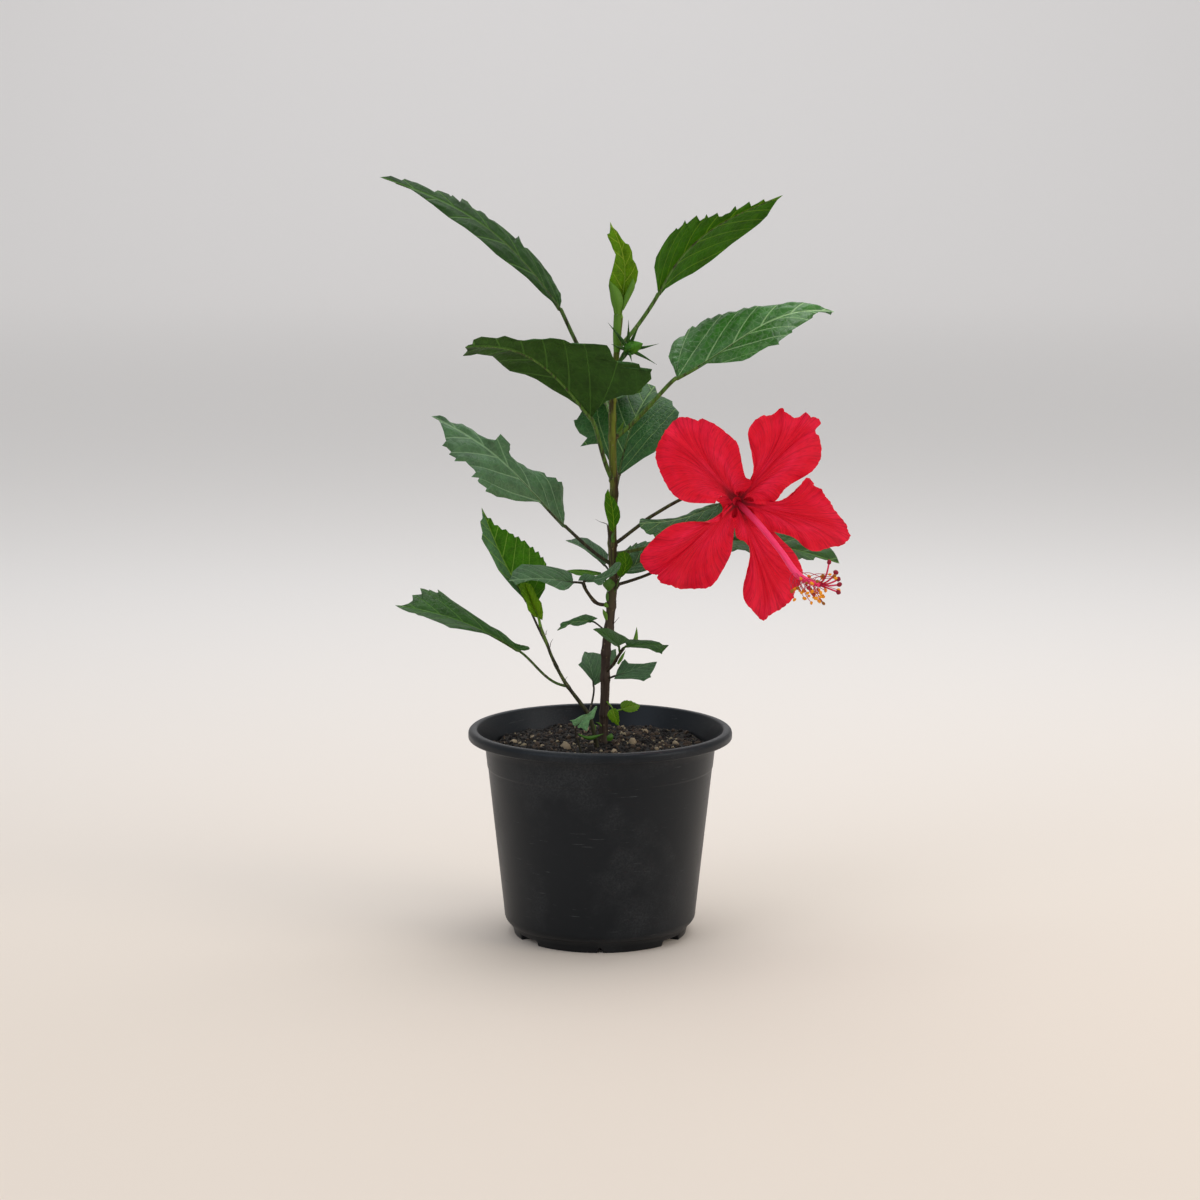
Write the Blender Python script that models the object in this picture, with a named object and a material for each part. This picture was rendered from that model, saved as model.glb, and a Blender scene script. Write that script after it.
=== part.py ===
"""A young hibiscus shrub in its nursery pot.

One woody stem rises from the soil and carries toothed leaves on long stalks. A
thin side shoot leaves the same root. A twig on the right holds the open bloom,
and a small bud sits near the top. Every leaf with its stalk, every petal, every
stem, the pot and the soil are separate solids. Measures are millimetres, and MM
turns them into Blender's metres. +Z is up, -Y is the front, and the origin is
the middle of the pot's flat underside.
"""

from typing import NamedTuple

import bmesh
import bpy
import numpy as np

MM = 0.001
CLEAR = 0.3  # space left between two pieces that rest on each other

# ---- The pot: a thin moulded cup with a rolled lip ----
POT_HEIGHT = 135.0
LIP_RADIUS = 85.0
LIP_HEIGHT = 6.5
MOUTH_RADIUS = 79.0
BODY_TOP_RADIUS = 75.0
BODY_FOOT_RADIUS = 62.0
FOOT_RADIUS = 56.0
CORNER_HEIGHT = 12.0
WALL = 1.8
POT_SIDES = 48
RECESS_INNER, RECESS_OUTER, RECESS_DEPTH = 22.0, 48.0, 2.5
FLOOR_TOP = 5.0
DRAIN_HEIGHT = 3.5
# Where water runs out under the foot ring: the angle of each gap, and its width.
DRAINS = ((-145, 18.0), (-90, 2.6), (-35, 18.0), (35, 18.0), (90, 2.6), (145, 18.0))

# ---- The soil that fills it ----
SOIL_TOP = 124.5  # level part, where the stems stand
SOIL_LEVEL_RADIUS = 36.0
SOIL_EDGE_TOP = 122.0

# ---- Leaves and petals ----
THINNEST_LEAF = 0.8
LENGTH_TO_THICKNESS = 95.0
STALK_SPAN = 0.35  # how far the stalk's bend reaches from its foot, as a share of its span
PETAL_THICKNESS = 1.0

# ---- The bloom ----
THROAT = np.array([88.0, -16.0, 283.0])
BLOOM_AXIS = np.array([0.28, -1.0, -0.25]) / np.linalg.norm([0.28, -1.0, -0.25])
CLAW_CIRCLE = 3.8
CALYX_LENGTH = 13.0


class Stem(NamedTuple):
    """A tapering stem: points along its middle, and its radius at the foot and at the tip."""

    points: tuple
    radius: tuple
    late: float = 1.0  # 1 tapers evenly, more keeps the thickness until near the tip
    flare: float = 0.0  # extra radius at the foot


class Leaf(NamedTuple):
    """A leaf blade on its stalk, or a petal.

    node: the stem that carries it, and how far along that stem its foot is.
    base, tip: where the blade starts and ends. half: its greatest half widths, left
    and right of the midrib as seen from the base. roll: its turn about its own
    length. fold: how far each half rises from the flat, in degrees, as one angle or
    as the angles at base and tip. arch, sweep: how far the midrib bows out of the
    blade and sideways, at the share of its length that crest gives. The outline is
    blunter at the base for a small rounding, and at the tip for a small point. wave is
    how high each half ripples, as a share of its width, and waves is how many ripples
    there are and where in its cycle the first one starts.
    """

    node: tuple
    base: tuple
    tip: tuple
    half: tuple
    roll: float = 0.0
    fold: tuple = (10.0, 10.0)
    arch: float = 3.0
    crest: float = 0.5
    sweep: float = 0.0
    rounding: tuple = (0.55, 0.55)
    point: tuple = (1.0, 1.0)
    wave: tuple = (0.0, 0.0)
    waves: tuple = (2.3, -0.14)
    facing: tuple = (0.0, 0.0, 1.0)
    stalk: float = 1.1
    lead: float = 0.2
    rise: tuple = ()
    stations: int = 7


STEMS = {
    "main_stem": Stem(
        ((3, 0, 124.8), (2, 0, 131), (3, 0, 153), (4, 0, 187), (6, 0, 202), (8, 0, 224), (9, 0, 235),
         (8, 0, 251), (8, 0, 270), (9, 0, 290), (8, 0, 315), (8, 0, 347), (9, 0, 360), (11, 0, 382),
         (13, 0, 400)),
        (2.9, 1.6), late=3.0, flare=0.9),
    "side_shoot": Stem(
        ((-2, -12, 124.8), (-4, -13, 135), (-8, -13, 147), (-22, -15, 167), (-30, -18, 183),
         (-33, -19, 191), (-38, -20, 205)),
        (1.5, 0.9), flare=0.4),
    "low_shoot": Stem(((3, -1, 171), (8, -6, 177), (11, -12, 183), (15, -17, 190)), (1.1, 0.9)),
    "left_twig": Stem(((6, -1, 214), (-2, -5, 217), (-8, -10, 225), (-11, -15, 232)), (1.2, 1.0)),
    "flower_twig": Stem(
        ((9, 0, 254), (24, 0, 266), (32, 1, 272), (51, 2, 283), (66, 3, 289), (77, 1, 291),
         (84.3, -3.0, 286.4)),
        (1.2, 1.0)),
}

# Which stem each of the others grows from, and how far along it.
GROWS_FROM = {"low_shoot": ("main_stem", 48), "left_twig": ("main_stem", 91),
              "flower_twig": ("main_stem", 131)}

LEAVES = {
    "leaf_top_left": Leaf(
        ("main_stem", 224), (-25, -10, 406), (-135, -45, 488), (31, 28), fold=(27, 19),
        arch=5, crest=0.62, rounding=(0.6, 0.6), stalk=1.4, lead=0.05, stations=13),
    "leaf_top_right": Leaf(
        ("main_stem", 257), (37, 10, 414), (117, 25, 476), (28, 32), roll=-30, fold=(15, 45),
        arch=-5.4, crest=0.6, rounding=(0.66, 0.66), point=(1.05, 1.05), stalk=1.4,
        lead=0.05, stations=13),
    "leaf_upper_right": Leaf(
        ("main_stem", 199), (49, 5, 361), (150, 20, 402), (31, 27), roll=30, fold=(4, 8),
        arch=13, crest=0.65, rounding=(0.25, 1.8), point=(1.15, 1.5), stalk=1.5, lead=0.1, stations=13),
    "leaf_upper_left": Leaf(
        ("main_stem", 173), (-6, -18, 338), (-83, -100, 384), (64, 50), roll=17, fold=(4, 38),
        arch=8, rounding=(0.38, 0.38), point=(0.9, 0.9), stalk=1.5, stations=13),
    "leaf_upper_back": Leaf(
        ("main_stem", 212), (4, 16, 344), (-14, 104, 356), (26, 26), arch=6, stalk=1.3, stations=11),
    "leaf_behind_stem": Leaf(
        ("main_stem", 163), (12, 14, 298), (32, 70, 352), (39, 29), fold=(8, 8), arch=8,
        rounding=(1.3, 0.8), point=(0.8, 0.7), stalk=1.4, stations=13),
    "leaf_middle_left": Leaf(
        ("main_stem", 118), (-23, -14, 269), (-106, -30, 340), (32, 24), roll=-33, fold=(-10, 5),
        arch=7.6, crest=0.58, rounding=(2.0, 0.35), point=(1.45, 0.8), wave=(0.05, 0.22),
        stalk=1.2, stations=13),
    "leaf_side_shoot": Leaf(
        ("side_shoot", 78), (-47, -14, 220), (-76, -5, 279), (14, 24), roll=-50, fold=(33, 15),
        arch=0, sweep=2, rounding=(0.8, 0.45), point=(0.9, 1.5), stalk=0.8, lead=0.1, stations=11),
    "leaf_left_grey": Leaf(
        ("left_twig", 30), (-17, -19, 233), (-56, -50, 239), (19, 19), roll=-15, fold=(-10, -10),
        arch=3, wave=(0.05, 0.05), rounding=(0.4, 0.4), point=(0.5, 0.5), stalk=0.8, stations=9),
    "leaf_front_grey": Leaf(
        ("left_twig", 26), (-10, -20, 234), (14, -40, 249), (10, 10), roll=25, fold=(0, 0),
        arch=-2, stalk=0.7, lead=0.1),
    "leaf_axil_left": Leaf(
        ("main_stem", 101), (1, -4, 236), (-20, -9, 240), (6, 6), roll=-8, arch=2, stalk=0.6),
    "leaf_back_left": Leaf(
        ("main_stem", 111), (3, 8, 240), (-21, 34, 252), (10, 10), roll=-15, stalk=0.7),
    "leaf_axil_right": Leaf(
        ("main_stem", 100), (13, -6, 234), (13, -8, 251), (6.5, 6.5), fold=(0, 0), arch=2,
        sweep=-2.5, facing=(0, -1, 0), rounding=(0.8, 0.8), point=(0.45, 0.45), stalk=0.6),
    "leaf_back_right": Leaf(
        ("main_stem", 108), (14, 9, 235), (59, 40, 248), (15, 12), roll=25, stalk=0.8, stations=9),
    "leaf_beside_bloom": Leaf(
        ("flower_twig", 76), (77, 10, 280), (26, -8, 267), (20, 9), roll=-35, fold=(0, -30), arch=0,
        point=(0.6, 0.6), stalk=0.8, stations=9),
    "leaf_behind_bloom": Leaf(
        ("main_stem", 124), (58, 18, 255), (155, 30, 238), (25, 25), roll=25, arch=6,
        stalk=1.3, stations=11),
    "leaf_behind_petal": Leaf(
        ("main_stem", 104), (36, 12, 236), (72, 62, 243), (20, 20), roll=10, arch=6,
        stations=9),
    "leaf_stem_young": Leaf(
        ("main_stem", 134), (9, -7, 263), (5, -6, 290), (5.5, 6), arch=2, sweep=-1,
        facing=(0, -1, 0), rounding=(1.0, 1.0), stalk=0.6),
    "leaf_low_left": Leaf(
        ("main_stem", 74), (-6, -8, 206), (-28, -18, 202), (6, 6), roll=-25, arch=3, stalk=0.6,
        lead=0.35),
    "leaf_low_right_upper": Leaf(
        ("low_shoot", 30), (17, -20, 192), (43, -36, 194), (6, 8), roll=20, fold=(5, -10), arch=0.5,
        point=(0.6, 0.6), stalk=0.7),
    "leaf_low_front_left": Leaf(
        ("low_shoot", 24), (12, -19, 192), (-4, -34, 206), (9, 9), roll=-45, arch=1,
        point=(0.7, 0.7), stalk=0.7, lead=0.1),
    "leaf_low_right_lower": Leaf(
        ("main_stem", 43), (10, -5, 170), (36, -10, 176), (10, 8), roll=35, fold=(10, 0), arch=0,
        rounding=(0.7, 0.7), point=(0.4, 0.4), stalk=0.7),
    "leaf_low_left_broad": Leaf(
        ("side_shoot", 22), (-4, 7, 161), (-8, 22, 181), (9, 18), fold=(5, 5), rounding=(1.0, 1.0),
        point=(0.7, 0.7), stalk=0.7),
    "leaf_soil_left": Leaf(
        ("soil", 0), (-15, -26, 141), (-2, -22, 153), (5, 8), fold=(5, 5), arch=1,
        facing=(0, -1, 0.3), rounding=(0.25, 0.25), stalk=0.7),
    "leaf_soil_right": Leaf(
        ("main_stem", 20), (14, 10, 145), (26, 18, 146), (6, 6), roll=30, fold=(5, 5), arch=1,
        stalk=0.6),
    "leaf_soil_yellow": Leaf(
        ("main_stem", 28), (8, -8, 149), (12, -14, 139), (3, 4.5), fold=(5, 5), arch=2,
        facing=(0, -1, 0), stalk=0.5),
    "leaf_lime_roll": Leaf(
        ("side_shoot", 200), (-39, -19.5, 210), (-48, -16, 232), (4.5, 8), fold=(30, 30),
        facing=(0, -1, 0), rounding=(0.7, 0.7), stalk=0.9),
    "leaf_bottom_left": Leaf(
        ("side_shoot", 46), (-53, -16, 189), (-128, -40, 221), (20, 22), roll=-25, fold=(10, 12),
        arch=5.3, rounding=(3.0, 1.8), point=(2.3, 0.8), rise=(-1, 0, 0.1), lead=0.35,
        stalk=0.9, stations=11),
    "leaf_crown_tip": Leaf(
        ("main_stem", 400), (12.5, -1, 406), (7, -4, 460), (10, 8), fold=(20, 20), arch=2, sweep=-6,
        facing=(0, -1, 0), stalk=1.4, stations=9),
}

# Soil leaf: where its stalk comes out of the ground.
SOIL_LEAF_FOOT = (-12.0, -27.0)

PETALS = {
    "petal_upper_left": Leaf(
        ("calyx", 0), (), (45, -44, 336), (28, 24), roll=10, fold=(-6, -6), arch=10,
        rounding=(0.7, 0.5), point=(0.5, 0.5)),
    "petal_upper_right": Leaf(
        ("calyx", 0), (), (124, -24, 343), (24, 31), roll=10, fold=(-6, -6), arch=8,
        rounding=(2.3, 0.6), point=(1.0, 0.4)),
    "petal_right": Leaf(
        ("calyx", 0), (), (161, -2, 263), (31, 17), roll=10, fold=(-6, -6), arch=10,
        rounding=(3.4, 1.5), point=(2.6, 0.4)),
    "petal_bottom": Leaf(
        ("calyx", 0), (), (108, -2, 207), (28.5, 11.5), roll=10, fold=(-6, -6), arch=10,
        rounding=(1.15, 3.5), point=(0.65, 0.9)),
    "petal_lower_left": Leaf(
        ("calyx", 0), (), (32, -27, 239), (29, 19), roll=10, fold=(-6, -6), arch=10,
        rounding=(0.85, 0.95), point=(0.7, 0.3)),
}

COLUMN_PATH = ((100, -30, 272), (113, -45, 257), (124, -56, 243), (137, -64, 238))
COLUMN_RADIUS = (2.4, 1.7)
STIGMAS = ((142, -66, 253), (146, -69, 247), (148, -64, 242), (148, -73, 240), (148, -66, 234))
STIGMA_SIZE = 1.6
ANTHERS = 14
ANTHER_SIZE = 1.5
ANTHER_REACH = 11.0
THREAD = 0.6

BUD_NODE = ("main_stem", 243)
BUD_STALK = 1.3
BUD_FOOT = (15.5, -5.0, 379.0)
BUD_TIP = (27.0, -11.0, 384.0)
BUD_RADIUS = 4.2
BRACT_TIPS = ((5, -9, 397), (18, -12, 399), (25, -13, 396), (37, -12, 384), (36, -16, 371),
              (7, -14, 384), (20, -18, 373), (13, -14, 372))
BRACT_RADIUS = 0.8


# ---- Materials ----

def material(name, colour, roughness):
    made = bpy.data.materials.new(name)
    made.use_nodes = True
    shader = made.node_tree.nodes["Principled BSDF"]
    shader.inputs["Base Color"].default_value = (*colour, 1.0)
    shader.inputs["Roughness"].default_value = roughness
    shader.inputs["Metallic"].default_value = 0.0
    made.diffuse_color = (*colour, 1.0)
    return made


def make_materials():
    return {
        "pot": material("Moulded pot plastic", (0.022, 0.022, 0.024), 0.45),
        "soil": material("Potting soil", (0.022, 0.016, 0.012), 0.95),
        "bark": material("Young bark", (0.060, 0.042, 0.026), 0.75),
        "leaf": material("Leaf green", (0.040, 0.130, 0.040), 0.42),
        "young": material("Young leaf green", (0.170, 0.330, 0.020), 0.45),
        "petal": material("Petal red", (0.580, 0.008, 0.024), 0.55),
        "column": material("Column pink", (0.800, 0.060, 0.140), 0.50),
    }


# ---- Making meshes ----

def clear_scene():
    for item in list(bpy.data.objects):
        bpy.data.objects.remove(item, do_unlink=True)


def add_object(name, points, faces, made_of, smooth=None):
    """One object from points in millimetres, with its faces turned outwards."""
    mesh = bpy.data.meshes.new(name)
    mesh.from_pydata([tuple(float(c) * MM for c in p) for p in points], [], faces)
    work = bmesh.new()
    work.from_mesh(mesh)
    bmesh.ops.recalc_face_normals(work, faces=work.faces)
    if work.calc_volume(signed=True) < 0:
        bmesh.ops.reverse_faces(work, faces=work.faces)
    work.to_mesh(mesh)
    work.free()
    mesh.materials.append(made_of)
    if smooth is not None:
        mesh.shade_smooth()
        mesh.set_sharp_from_angle(angle=np.radians(smooth))
    item = bpy.data.objects.new(name, mesh)
    bpy.context.scene.collection.objects.link(item)
    return item


def loft(rings, start=None, end=None):
    """Points and faces of a closed skin over rings of equal count.

    Each end is closed by one flat face, or drawn to the single point given for it.
    """
    count = len(rings[0])
    points = [tuple(p) for ring in rings for p in ring]
    faces = []
    for k in range(len(rings) - 1):
        for i in range(count):
            j = (i + 1) % count
            faces.append((k * count + i, k * count + j, (k + 1) * count + j, (k + 1) * count + i))
    last = (len(rings) - 1) * count
    for ring_start, apex in ((0, start), (last, end)):
        if apex is None:
            faces.append(tuple(range(ring_start, ring_start + count)))
            continue
        points.append(tuple(apex))
        top = len(points) - 1
        faces += [(ring_start + i, ring_start + (i + 1) % count, top) for i in range(count)]
    return points, faces


def fuse(item, others):
    """Join the other objects to item with one Boolean union, and remove them."""
    group = bpy.data.collections.new(item.name + "_parts")
    bpy.context.scene.collection.children.link(group)
    for other in others:
        bpy.context.scene.collection.objects.unlink(other)
        group.objects.link(other)
    union = item.modifiers.new("Union", "BOOLEAN")
    union.operation = "UNION"
    union.operand_type = "COLLECTION"
    union.collection = group
    union.solver = "EXACT"
    graph = bpy.context.evaluated_depsgraph_get()
    joined = bpy.data.meshes.new_from_object(item.evaluated_get(graph))
    item.modifiers.remove(union)
    item.data = joined
    for other in others:
        bpy.data.objects.remove(other, do_unlink=True)
    bpy.data.collections.remove(group)
    return item


# ---- Lines in space ----

def unit(vector):
    vector = np.asarray(vector, float)
    return vector / np.linalg.norm(vector)


def smooth_path(points, steps):
    """Points along a Catmull-Rom curve through the given ones."""
    p = np.asarray(points, float)
    p = np.vstack([2 * p[0] - p[1], p, 2 * p[-1] - p[-2]])
    out = []
    for k in range(1, len(p) - 2):
        for t in np.arange(steps) / steps:
            out.append(0.5 * (2 * p[k] + (p[k + 1] - p[k - 1]) * t
                              + (2 * p[k - 1] - 5 * p[k] + 4 * p[k + 1] - p[k + 2]) * t * t
                              + (3 * p[k] - p[k - 1] - 3 * p[k + 1] + p[k + 2]) * t ** 3))
    out.append(p[-2])
    return np.array(out)


def bezier(a, b, c, d, count):
    t = np.linspace(0, 1, count)[:, None]
    return (1 - t) ** 3 * a + 3 * (1 - t) ** 2 * t * b + 3 * (1 - t) * t * t * c + t ** 3 * d


def tangents(path):
    steps = np.gradient(path, axis=0)
    return steps / np.linalg.norm(steps, axis=1)[:, None]


def carried_sideways(directions, first):
    """A sideways direction at each point of a path, turned only as much as the path turns."""
    side = unit(first - first @ directions[0] * directions[0])
    sides = [side]
    for direction in directions[1:]:
        side = unit(side - side @ direction * direction)
        sides.append(side)
    return np.array(sides)


def tube_rings(path, radii, sides, first_side=(1.0, 0.0, 0.0), turn=0.0, seat=None):
    """Rings round a path. A seat is the direction of the flat that the first ring rests on."""
    along = tangents(path)
    across = carried_sideways(along, np.asarray(first_side, float))
    rings = []
    for middle, direction, side, radius in zip(path, along, across, radii):
        up = np.cross(direction, side)
        angles = turn + 2 * np.pi * np.arange(sides) / sides
        rings.append(middle + radius * (np.cos(angles)[:, None] * side + np.sin(angles)[:, None] * up))
    if seat is not None:
        slope = max(along[0] @ seat, 0.35)
        rings[0] = rings[0] - along[0] * ((rings[0] - path[0]) @ seat / slope)[:, None]
    return rings


def stem_line(name):
    """The middle of a stem and its radius at each point."""
    stem = STEMS[name]
    path = smooth_path(stem.points, 3)
    length = np.concatenate([[0], np.cumsum(np.linalg.norm(np.diff(path, axis=0), axis=1))])
    share = (length / length[-1]) ** stem.late
    radii = stem.radius[0] + (stem.radius[1] - stem.radius[0]) * share
    radii = radii + stem.flare * np.exp(-length / 3.0)
    return path, radii, length


def foot_on(node, towards):
    """Where a stalk stands on its stem, and the flat it rests on, clear of the stem."""
    name, distance = node
    path, radii, length = stem_line(name)
    if distance >= length[-1]:
        direction = tangents(path)[-1]
        return path[-1] + direction * CLEAR, direction
    middle = np.array([np.interp(distance, length, path[:, i]) for i in range(3)])
    direction = np.array([np.interp(distance, length, tangents(path)[:, i]) for i in range(3)])
    direction = unit(direction)
    outward = np.asarray(towards, float) - middle
    outward = unit(outward - outward @ direction * direction)
    radius = np.interp(distance, length, radii)
    return middle + outward * (radius + CLEAR), outward


# ---- The pot and the soil ----

def revolve(name, profile, sides, made_of, smooth):
    """Turn a closed profile of (radius, height), whose two ends lie on the axis."""
    rings = []
    angles = 2 * np.pi * np.arange(sides) / sides
    for radius, height in profile[1:-1]:
        rings.append(np.stack([radius * np.cos(angles), radius * np.sin(angles),
                               np.full(sides, float(height))], axis=1))
    points, faces = loft(rings, start=(0, 0, profile[0][1]), end=(0, 0, profile[-1][1]))
    return add_object(name, points, faces, made_of, smooth)


def inner_radius(height):
    """The inside of the pot's wall at a height."""
    share = (height - CORNER_HEIGHT) / (POT_HEIGHT - CORNER_HEIGHT)
    return BODY_FOOT_RADIUS - WALL + (BODY_TOP_RADIUS - BODY_FOOT_RADIUS) * share


def make_pot(made_of):
    under_lip = POT_HEIGHT - LIP_HEIGHT
    profile = [
        (0, 0), (RECESS_INNER, 0), (RECESS_INNER + 1, RECESS_DEPTH), (RECESS_OUTER - 1, RECESS_DEPTH),
        (RECESS_OUTER, 0), (FOOT_RADIUS, 0), (FOOT_RADIUS + 1.5, 4.5), (BODY_FOOT_RADIUS - 1.5, 8.0),
        (BODY_FOOT_RADIUS, CORNER_HEIGHT), (BODY_TOP_RADIUS, under_lip - 3),
        (BODY_TOP_RADIUS + 2.5, under_lip), (LIP_RADIUS - 1.5, under_lip),
        (LIP_RADIUS, under_lip + 1.5), (LIP_RADIUS, POT_HEIGHT - 2), (LIP_RADIUS - 2, POT_HEIGHT),
        (MOUTH_RADIUS + 1.5, POT_HEIGHT), (MOUTH_RADIUS, POT_HEIGHT - 1.5),
        (inner_radius(under_lip - 3), under_lip - 4), (inner_radius(CORNER_HEIGHT), CORNER_HEIGHT),
        (FOOT_RADIUS - 2, FLOOR_TOP), (0, FLOOR_TOP)]
    pot = revolve("pot", profile, POT_SIDES, made_of, 35)
    for k, (angle, width) in enumerate(DRAINS):
        cutter = drain_cutter(k, np.radians(angle), width)
        cut = pot.modifiers.new(f"Drain gap {k}", "BOOLEAN")
        cut.operation = "DIFFERENCE"
        cut.object = cutter
        cut.solver = "EXACT"
    return pot


def drain_cutter(k, angle, width):
    """A block across the foot ring, where water runs out."""
    mesh = bpy.data.meshes.new(f"drain_cutter_{k}")
    work = bmesh.new()
    bmesh.ops.create_cube(work, size=1.0)
    work.to_mesh(mesh)
    work.free()
    cutter = bpy.data.objects.new(f"drain_cutter_{k}", mesh)
    bpy.context.scene.collection.objects.link(cutter)
    reach = FOOT_RADIUS - RECESS_OUTER + 14
    middle = RECESS_OUTER + reach / 2 - 5
    cutter.location = (middle * MM * np.cos(angle), middle * MM * np.sin(angle), 0)
    cutter.rotation_euler = (0, 0, angle)
    cutter.scale = (reach * MM, width * MM, 2 * DRAIN_HEIGHT * MM)
    cutter.hide_render = True
    cutter.display_type = "WIRE"
    return cutter


def make_soil(made_of):
    bottom = FLOOR_TOP + CLEAR
    profile = [(0, bottom), (FOOT_RADIUS - 4, bottom),
               (inner_radius(CORNER_HEIGHT) - 2 * CLEAR, CORNER_HEIGHT + 1),
               (inner_radius(SOIL_EDGE_TOP) - 2 * CLEAR, SOIL_EDGE_TOP),
               (SOIL_LEVEL_RADIUS + 16, SOIL_EDGE_TOP + 1.2), (SOIL_LEVEL_RADIUS, SOIL_TOP),
               (0, SOIL_TOP)]
    return revolve("soil", profile, POT_SIDES, made_of, 35)


# ---- Stems ----

def make_stem(name, made_of):
    path, radii, _ = stem_line(name)
    seat = None
    if name in GROWS_FROM:
        ahead = path[2]
        foot, seat = foot_on(GROWS_FROM[name], ahead)
        path = path + np.exp(-np.arange(len(path)) / 2.0)[:, None] * (foot - path[0])
    else:
        seat = np.array([0.0, 0.0, 1.0])
    sides = 8 if name == "main_stem" else 6
    rings = tube_rings(path, radii, sides, seat=seat)
    points, faces = loft(rings)
    return add_object(name, points, faces, made_of, 60)


# ---- Leaves ----

def pair(value):
    return value if isinstance(value, tuple) else (value, value)


def outline(t, rounding, point):
    """Half width at a share of the length, 1 where it is greatest."""
    t = np.clip(t, 1e-6, 1 - 1e-6)
    widest = rounding / (rounding + point)
    greatest = widest ** rounding * (1 - widest) ** point
    return t ** rounding * (1 - t) ** point / greatest


def midrib(leaf, t):
    """Points of the midrib, and the blade's upright and sideways directions there."""
    base, tip = np.asarray(leaf.base, float), np.asarray(leaf.tip, float)
    chord = tip - base
    along = unit(chord)
    upright = unit(np.asarray(leaf.facing, float) - np.asarray(leaf.facing, float) @ along * along)
    roll = np.radians(leaf.roll)
    upright = upright * np.cos(roll) + np.cross(along, upright) * np.sin(roll)
    sideways = np.cross(upright, along)

    def place(share):
        bow = np.sin(np.pi * np.clip(share, 0, 1) ** (np.log(0.5) / np.log(leaf.crest)))[:, None]
        return base + chord * share[:, None] + (upright * leaf.arch + sideways * leaf.sweep) * bow

    step = 1e-3
    run = place(np.clip(t + step, 0, 1)) - place(np.clip(t - step, 0, 1))
    run /= np.linalg.norm(run, axis=1)[:, None]
    up = upright - run * (run @ upright)[:, None]
    up /= np.linalg.norm(up, axis=1)[:, None]
    return place(t), run, up, np.cross(up, run)


def blade_points(leaf, t, s, edge=1.0):
    """The blade's middle surface at lengths t and across places s, from -1 to 1."""
    middle, _, up, side = midrib(leaf, t)
    half = 0 if s > 0 else 1
    fold = pair(leaf.fold[half])
    angle = np.radians(fold[0] + (fold[1] - fold[0]) * t)
    width = leaf.half[half] * outline(t, leaf.rounding[half], leaf.point[half]) * edge
    reach = abs(s)
    count, start = leaf.waves
    ripple = leaf.wave[half] * reach ** 2 * np.sin(2 * np.pi * (count * t + start))
    across = side * (np.sign(s) * reach * width * np.cos(angle))[:, None]
    lifted = up * (reach * width * (np.sin(angle) + ripple))[:, None]
    return middle + across + lifted


ACROSS = (-1.0, -0.5, 0.0, 0.5, 1.0)


def blade_rings(leaf, t, thickness, edge):
    """Rings of ten points round the blade: five below it, then five above."""
    grid = np.stack([blade_points(leaf, t, s, edge) for s in ACROSS], axis=1)
    lengthways = np.gradient(grid, axis=0)
    crossways = np.gradient(grid, axis=1)
    normal = np.cross(lengthways, crossways)
    normal /= np.linalg.norm(normal, axis=2)[:, :, None] + 1e-12
    lift = normal * (thickness / 2)[:, None, None]
    return [np.vstack([below, above[::-1]]) for below, above in zip(grid - lift, grid + lift)]


def blade_stations(count):
    """Shares of the length with a ring, closer at the base, and the edge's teeth there."""
    t = np.concatenate([[0.04, 0.13], np.linspace(0.25, 0.95, count - 2)])
    teeth = np.where(np.arange(count) % 2 == 0, 1.03, 0.96)
    teeth[:3] = 1.0
    return t, teeth


def leaf_thickness(leaf):
    length = np.linalg.norm(np.subtract(leaf.tip, leaf.base))
    return max(THINNEST_LEAF, length / LENGTH_TO_THICKNESS)


def make_leaf(name, leaf, made_of):
    t, teeth = blade_stations(leaf.stations)
    thickness = leaf_thickness(leaf)
    blade = blade_rings(leaf, t, np.full(len(t), thickness), teeth)
    start, run, up, side = (rows[0] for rows in midrib(leaf, np.array([0.0, 0.02])))
    if leaf.node[0] == "soil":
        foot, seat = np.array([*SOIL_LEAF_FOOT, SOIL_TOP + CLEAR]), np.array([0.0, 0.0, 1.0])
    else:
        foot, seat = foot_on(leaf.node, start)
    span = np.linalg.norm(start - foot)
    leave = unit(leaf.rise) if leaf.rise else unit(unit(start - foot) + 0.3 * seat)
    path = bezier(foot, foot + leave * span * STALK_SPAN, start - run * span * leaf.lead, start,
                  6 if leaf.stations > 8 else 4)
    radii = np.linspace(leaf.stalk, max(0.75 * leaf.stalk, thickness / 2), len(path))
    backwards = tube_rings(path[::-1], radii[::-1], 10, first_side=side, turn=np.radians(198))
    stalk = backwards[::-1]
    direction = tangents(path)[0]
    slope = max(direction @ seat, 0.35)
    stalk[0] = stalk[0] - direction * ((stalk[0] - foot) @ seat / slope)[:, None]
    if np.cross(tangents(path[::-1])[0], side) @ up < 0:
        stalk = [ring[[(14 - i) % 10 for i in range(10)]] for ring in stalk]
    points, faces = loft(stalk + blade, end=blade_points(leaf, np.array([1.0]), 0.0)[0])
    return add_object(name, points, faces, made_of, 60)


# ---- The bloom ----

def seated_petal(petal):
    """The petal with its claw on the circle round the column, facing along the bloom's axis."""
    outward = np.subtract(petal.tip, THROAT)
    outward = unit(outward - outward @ BLOOM_AXIS * BLOOM_AXIS)
    base = THROAT + BLOOM_AXIS * (2 * CLEAR) + outward * CLAW_CIRCLE
    return petal._replace(base=tuple(base), facing=tuple(BLOOM_AXIS))


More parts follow.
